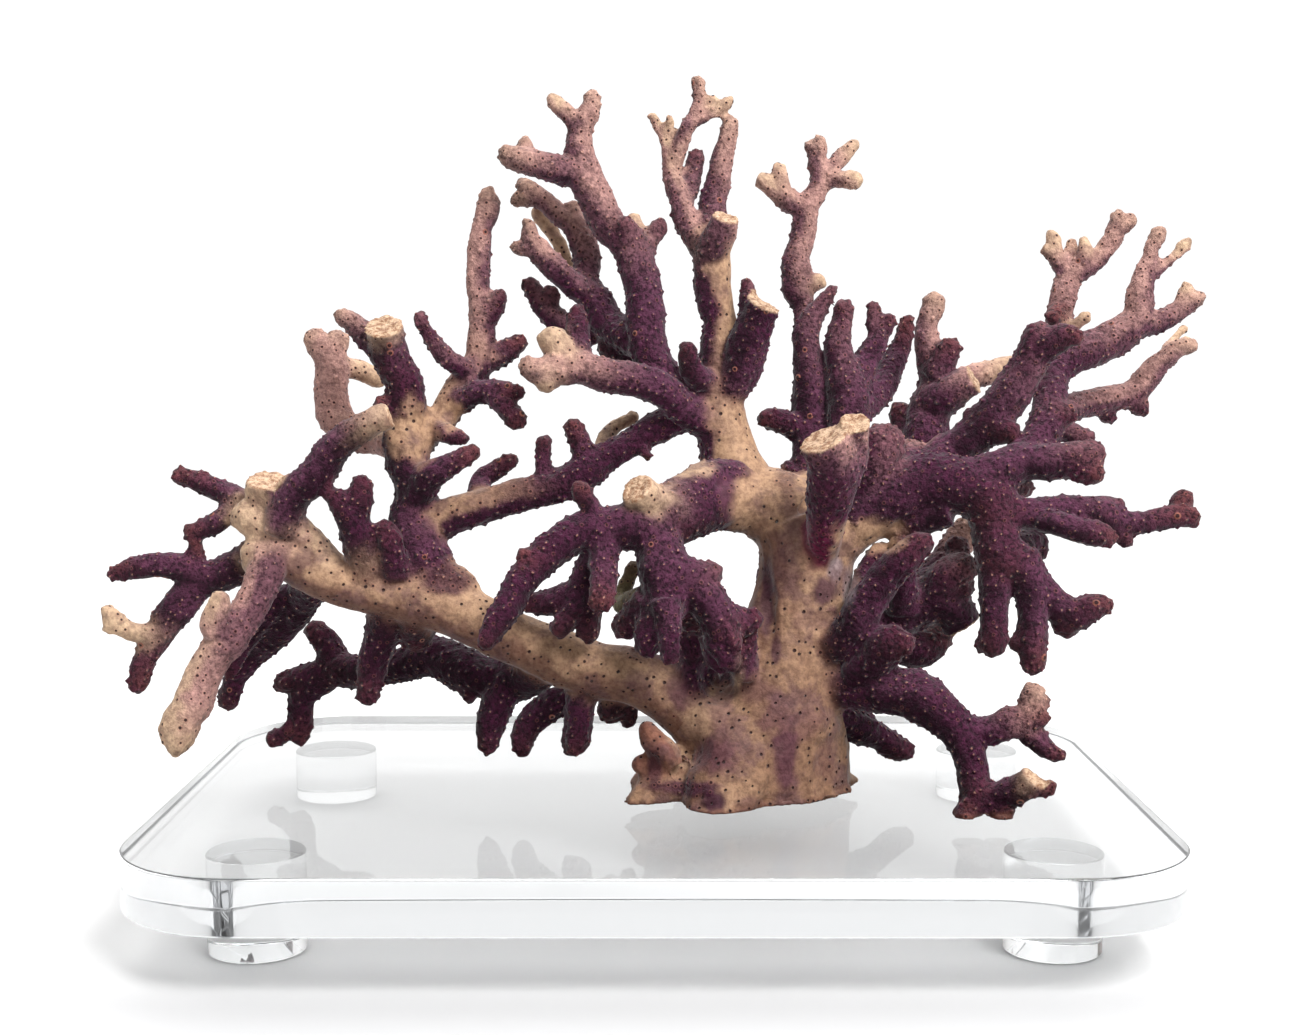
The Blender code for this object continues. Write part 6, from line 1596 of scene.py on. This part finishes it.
@dataclass
class Studio:
    """A round white floor with painted shade in front and painted light from the slab's front edge back,
    which lifts the slab's shadow; surroundings that are bright behind and dim in front, a wide soft box
    overhead, a smaller one in front and the camera. Sizes in metres."""

    lens: float = 51.63
    sensor: float = 36.0
    shift: tuple = (-0.0124, 0.0004)
    behind: float = 1.05
    in_front: float = 0.24
    turning: tuple = (-0.4, 0.65)
    # Where the floor turns from its painted-shade front to its paler part, whose painted light lifts the
    # slab's shadow, in metres of y.
    shadow_lift_ends: tuple = (-0.09, -0.055)
    floor_reach: float = 1.3
    floor_points: int = 96
    floor_drop: float = 0.0003
    # The paler tone holds from the slab's front edge back, its painted light lifting the slab's shadow; the
    # front tone is painted shade.
    floor_pale: tuple = (0.72, 0.72, 0.72)
    floor_front_shade: tuple = (0.545, 0.545, 0.55)
    floor_roughness: float = 0.6
    lit: tuple = (0.0, 0.0, 0.1)

    def build(self) -> None:
        """Set the floor, the lights, the surroundings and the camera."""
        scene = bpy.context.scene
        scene.view_settings.view_transform = "Standard"
        scene.cycles.max_bounces = 24
        scene.cycles.glossy_bounces = 16
        scene.cycles.transmission_bounces = 24
        self.surround(scene)
        self.floor()
        self.light("overhead", (0.0, 0.7, 1.7), 2.4, 34.0)
        self.light("front", (0.6, -0.8, 1.1), 0.7, 30.0)
        self.camera(scene)

    def surround(self, scene: bpy.types.Scene) -> None:
        """Even white surroundings, eased from dim in front of the coral to bright behind it.

        Args:
            scene: the scene that they light.
        """
        world = bpy.data.worlds.new("studio")
        world.use_nodes = True
        tree = world.node_tree
        where = tree.nodes.new("ShaderNodeTexCoord")
        parts = tree.nodes.new("ShaderNodeSeparateXYZ")
        ease = tree.nodes.new("ShaderNodeMapRange")
        ease.interpolation_type = "SMOOTHSTEP"
        for index, value in enumerate((*self.turning, self.in_front, self.behind), start=1):
            ease.inputs[index].default_value = value
        tree.links.new(where.outputs["Generated"], parts.inputs[0])
        tree.links.new(parts.outputs["Y"], ease.inputs[0])
        tree.links.new(ease.outputs[0], tree.nodes["Background"].inputs["Strength"])
        tree.nodes["Background"].inputs["Color"].default_value = (1.0, 1.0, 1.0, 1.0)
        scene.world = world

    def floor(self) -> None:
        """A round white floor, a little darker in front: painted shade in front, and painted light from the
        slab's front edge back that lifts the slab's shadow.
        """
        graph = NodeGraph("floor_with_painted_light")
        place = graph.node("ShaderNodeSeparateXYZ", {0: graph.here()})
        # From the painted-shade front to the paler floor that lifts the slab's shadow.
        pale = graph.fade(place.outputs["Y"], *self.shadow_lift_ends)
        drift = graph.fade(graph.noise(400.0, 2.0), 0.3, 0.7, -0.04, 0.04)
        tint = graph.mix(graph.math("ADD", pale, drift, clamp=True), self.floor_front_shade, self.floor_pale)
        graph.feed(graph.shader.inputs["Base Color"], tint)
        graph.shader.inputs["Roughness"].default_value = self.floor_roughness
        angles = np.linspace(0.0, 2 * np.pi, self.floor_points, endpoint=False)
        rim = self.floor_reach * np.stack([np.cos(angles), np.sin(angles), 0 * angles], axis=1)
        floor = placed("studio_floor", rim - (0.0, 0.0, self.floor_drop), [list(range(len(rim)))])
        floor.data.materials.append(graph.material)

    def light(self, name: str, place: tuple, size: float, power: float) -> None:
        """A square soft box, facing the coral.

        Args:
            name: the light's name.
            place: its x, y and z, in metres.
            size: its side, in metres.
            power: its power, in watts.
        """
        lamp = bpy.data.lights.new(name, "AREA")
        lamp.size = size
        lamp.energy = power
        box = bpy.data.objects.new(name, lamp)
        box.location = place
        box.rotation_euler = (Vector(self.lit) - Vector(place)).to_track_quat("-Z", "Y").to_euler()
        bpy.context.scene.collection.objects.link(box)

    def camera(self, scene: bpy.types.Scene) -> None:
        """The camera at the drawing's viewpoint, level across and pitched down a little.

        Args:
            scene: the scene that it views.
        """
        lens = bpy.data.cameras.new("view")
        lens.lens = self.lens
        lens.sensor_width = self.sensor
        lens.shift_x, lens.shift_y = self.shift
        lens.clip_start = 0.01
        camera = bpy.data.objects.new("view", lens)
        camera.location = [value * MM for value in VIEW.viewpoint]
        camera.rotation_euler = (math.pi / 2 - VIEW.pitch, 0.0, 0.0)
        scene.collection.objects.link(camera)
        scene.camera = camera


# The height of the flat cut under the coral, in mm.
CORAL_CUT = 25.75
# Which way each limb's darker flank faces. The flank tone is partly the branch's own second tone, partly
# painted shade.
FLANK = (-0.70, 0.0, -0.70)
FLANKS = {
    "left_stem_fork": (0.45, 0.0, -0.88), "left_stem_side": (-0.6, 0.0, -0.8),
    "inner_left_branch": (0.0, 0.0, -1.0), "far_left_pale_branch": (0.85, 0.0, 0.1),
    "middle_left_branch": (-0.2, 0.0, -0.97), "far_right_branch": (0.2, 0.0, -0.97),
    "far_right_back_branch": (-0.3, 0.0, -0.95), "right_pale_branch": (0.1, 0.0, -1.0),
    "left_limb": (0.0, 0.0, -1.0), "front_arm": (0.0, 0.0, -1.0),
}
# The tones whose grown tips fade to cream. The others fade to rust.
PALE_ENDS = (Tone.TAN, Tone.SAND, Tone.ROSE, Tone.CREAM)

# Soft patches on the drawing plane: most are the coral's own tones and stains; some are painted shade in
# the trunk's grooves, forks and lower part, and two are a painted highlight on its right edge.
STAINS_AND_PAINTED_LIGHT = (
    TonePatch(Tone.TAN, -62, 22, 6.5, 8),
    TonePatch(Tone.TAN, -52, 26, 4, 4),
    TonePatch(Tone.TAN, 52, -4, 10, 4.5),
    TonePatch(Tone.TAN, 45, -12, 4, 8),
    TonePatch(Tone.SAND, 5, 13, 9, 2.6),
    TonePatch(Tone.TAN, 27, 6, 6, 9),
    TonePatch(Tone.TAN, 21.5, 3, 5, 8),
    TonePatch(Tone.MAUVE_STAIN_AND_SHADE, 16, 5, 2.5, 7, 0.6),
    # Near-black patch: painted shade in the fork under the front stump.
    TonePatch(Tone.DARK_PURPLE_AND_SHADE, 41, -18, 3.2, 4.4, 0.9),
    # Painted highlight on the trunk's lit right edge.
    TonePatch(Tone.RIM_HIGHLIGHT, 43.5, -12.5, 2.4, 3.5, 0.7),
    TonePatch(Tone.RIM_HIGHLIGHT, 47, -17, 1.8, 5.5, 0.6),
    # Near-black patches: partly the groove's own purple, partly painted shade in the groove.
    TonePatch(Tone.DARK_PURPLE_AND_SHADE, 26.5, -20, 2.0, 10, 0.9),
    TonePatch(Tone.DARK_PURPLE_AND_SHADE, 28.5, -33, 1.6, 5, 0.8),
    TonePatch(Tone.PURPLE, 48, -35, 3, 5, 0.7),
    TonePatch(Tone.PURPLE, 49, -46, 4.5, 4.5, 0.8),
    # Mauve-brown patches: partly the trunk's stains, partly painted shade in its furrows and low down.
    TonePatch(Tone.MAUVE_STAIN_AND_SHADE, 14, -59, 6.5, 5, 0.85),
    TonePatch(Tone.MAUVE_STAIN_AND_SHADE, 31, -60, 3.4, 11, 0.9),
    TonePatch(Tone.MAUVE_STAIN_AND_SHADE, 29, -49, 6, 5, 0.65),
    TonePatch(Tone.MAUVE_STAIN_AND_SHADE, 24, -43, 6, 3.5, 0.5),
    TonePatch(Tone.MAUVE_STAIN_AND_SHADE, 4, -43, 3.5, 5, 0.7),
    TonePatch(Tone.MAUVE_STAIN_AND_SHADE, 36, -51, 6, 4, 0.5),
    TonePatch(Tone.MAUVE_STAIN_AND_SHADE, 15, -47, 3, 7, 0.6),
    TonePatch(Tone.MAUVE_STAIN_AND_SHADE, 7, -67, 7, 2, 0.75),
    TonePatch(Tone.MAUVE_STAIN_AND_SHADE, 22, -71, 5, 2, 0.5),
    TonePatch(Tone.MAUVE_STAIN_AND_SHADE, 41, -60, 3, 5, 0.4),
    TonePatch(Tone.MAUVE_STAIN_AND_SHADE, 37, -25, 5, 3, 0.4),
    TonePatch(Tone.MAUVE_STAIN_AND_SHADE, 6, -45, 5, 3, 0.5),
    TonePatch(Tone.PURPLE, 9, -40, 4.5, 4.5, 0.85),
    TonePatch(Tone.SAND, 19, -38, 1.6, 5, 0.8),
    # Near-black patch: painted shade low at the trunk's base.
    TonePatch(Tone.DARK_PURPLE_AND_SHADE, 13, -70.5, 3.6, 3, 0.95),
    TonePatch(Tone.PURPLE, -2, -62, 2.2, 6, 0.6),
    TonePatch(Tone.PURPLE, 5, -67, 9, 2.2, 0.6),
    TonePatch(Tone.PURPLE, 0, -31, 11, 5, 0.85),
    TonePatch(Tone.PURPLE, 14, -35, 7, 7, 0.85),
    TonePatch(Tone.PURPLE, -53, -15, 7, 4, 0.75),
    TonePatch(Tone.PURPLE, 31.5, 12, 3, 8, 0.45),
    TonePatch(Tone.MAUVE_STAIN_AND_SHADE, 36, -2, 5, 4, 0.3),
    TonePatch(Tone.MAUVE_STAIN_AND_SHADE, 30, -12, 4, 8, 0.3),
)

DENTS = (
    Dent(13.5, -41, 5.5, 10, 3.0, -0.35),
    Dent(26.5, -20, 3.0, 13, 1.6, -0.1),
    Dent(42, -62, 6, 14, 1.8, 0.1),
    Dent(24, -68, 5, 12, -1.2, 0.2),
    Dent(8, -58, 6, 6, 1.6, 0.0),
    Dent(31, -73, 4, 7, 1.4, 0.3),
    Dent(19, -33, 3, 9, -1.2, -0.3),
)

PIECES = (
    CoralPiece("coral_trunk", ("trunk", "front_arm", "front_hand", "front_stump"), "coral_tan",
               ("left_limb", "centre_stem", "right_limb", "right_stem", "middle_stem", "lower_right_branch",
                "front_finger", "inner_right_branch", "back_branch_1"), seed=11),
    CoralPiece("coral_left_limb", ("left_limb", "far_left_pale_branch", "far_left_branch",
                                   "left_back_branch", "lower_left_branch"), "coral_tan",
               ("left_stem", "back_branch_4"), seed=12),
    CoralPiece("coral_left_stem", ("left_stem", "left_stem_fork", "left_stem_side", "inner_left_branch"),
               "coral_purple", seed=13),
    CoralPiece("coral_crown", ("centre_stem", "upper_left_branch", "upper_left_fork", "middle_left_branch"),
               "coral_pink", ("back_branch_5",), seed=14),
    CoralPiece("coral_right_stems", ("right_stem", "right_pink_branch", "middle_stem", "inner_stem"),
               "coral_purple", seed=15),
    CoralPiece("coral_right_limb", ("right_limb", "right_lower_branch", "right_hanging_branch",
                                    "upper_right_branch", "far_right_branch", "far_right_back_branch",
                                    "right_pale_branch"), "coral_purple",
               ("inner_stem", "back_branch_2"), seed=16),
    CoralPiece("coral_lower_right", ("lower_right_branch", "front_finger", "inner_right_branch"),
               "coral_purple", ("back_branch_3",), seed=17),
    CoralPiece("coral_back", ("back_branch_1", "back_branch_2", "back_branch_3", "back_branch_4",
                              "back_branch_5"), "coral_pink", voxel=0.7, seed=18),
)
# Limbs that sit on another piece.
SEATED = tuple(limb for piece in PIECES for limb in piece.sleeves)


def main() -> None:
    """Build the stand, the coral and the studio, and note the sizes."""
    logging.basicConfig(level=logging.INFO, format="%(message)s")
    AcrylicStand().build()
    skin = CoralFinish().material()
    for piece in PIECES:
        made = piece.build()
        made.data.materials.clear()
        made.data.materials.append(skin)
        made.visible_glossy = False
        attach(made, BODY)
        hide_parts(*piece.limbs)
    Studio().build()


if __name__ == "__main__":
    main()
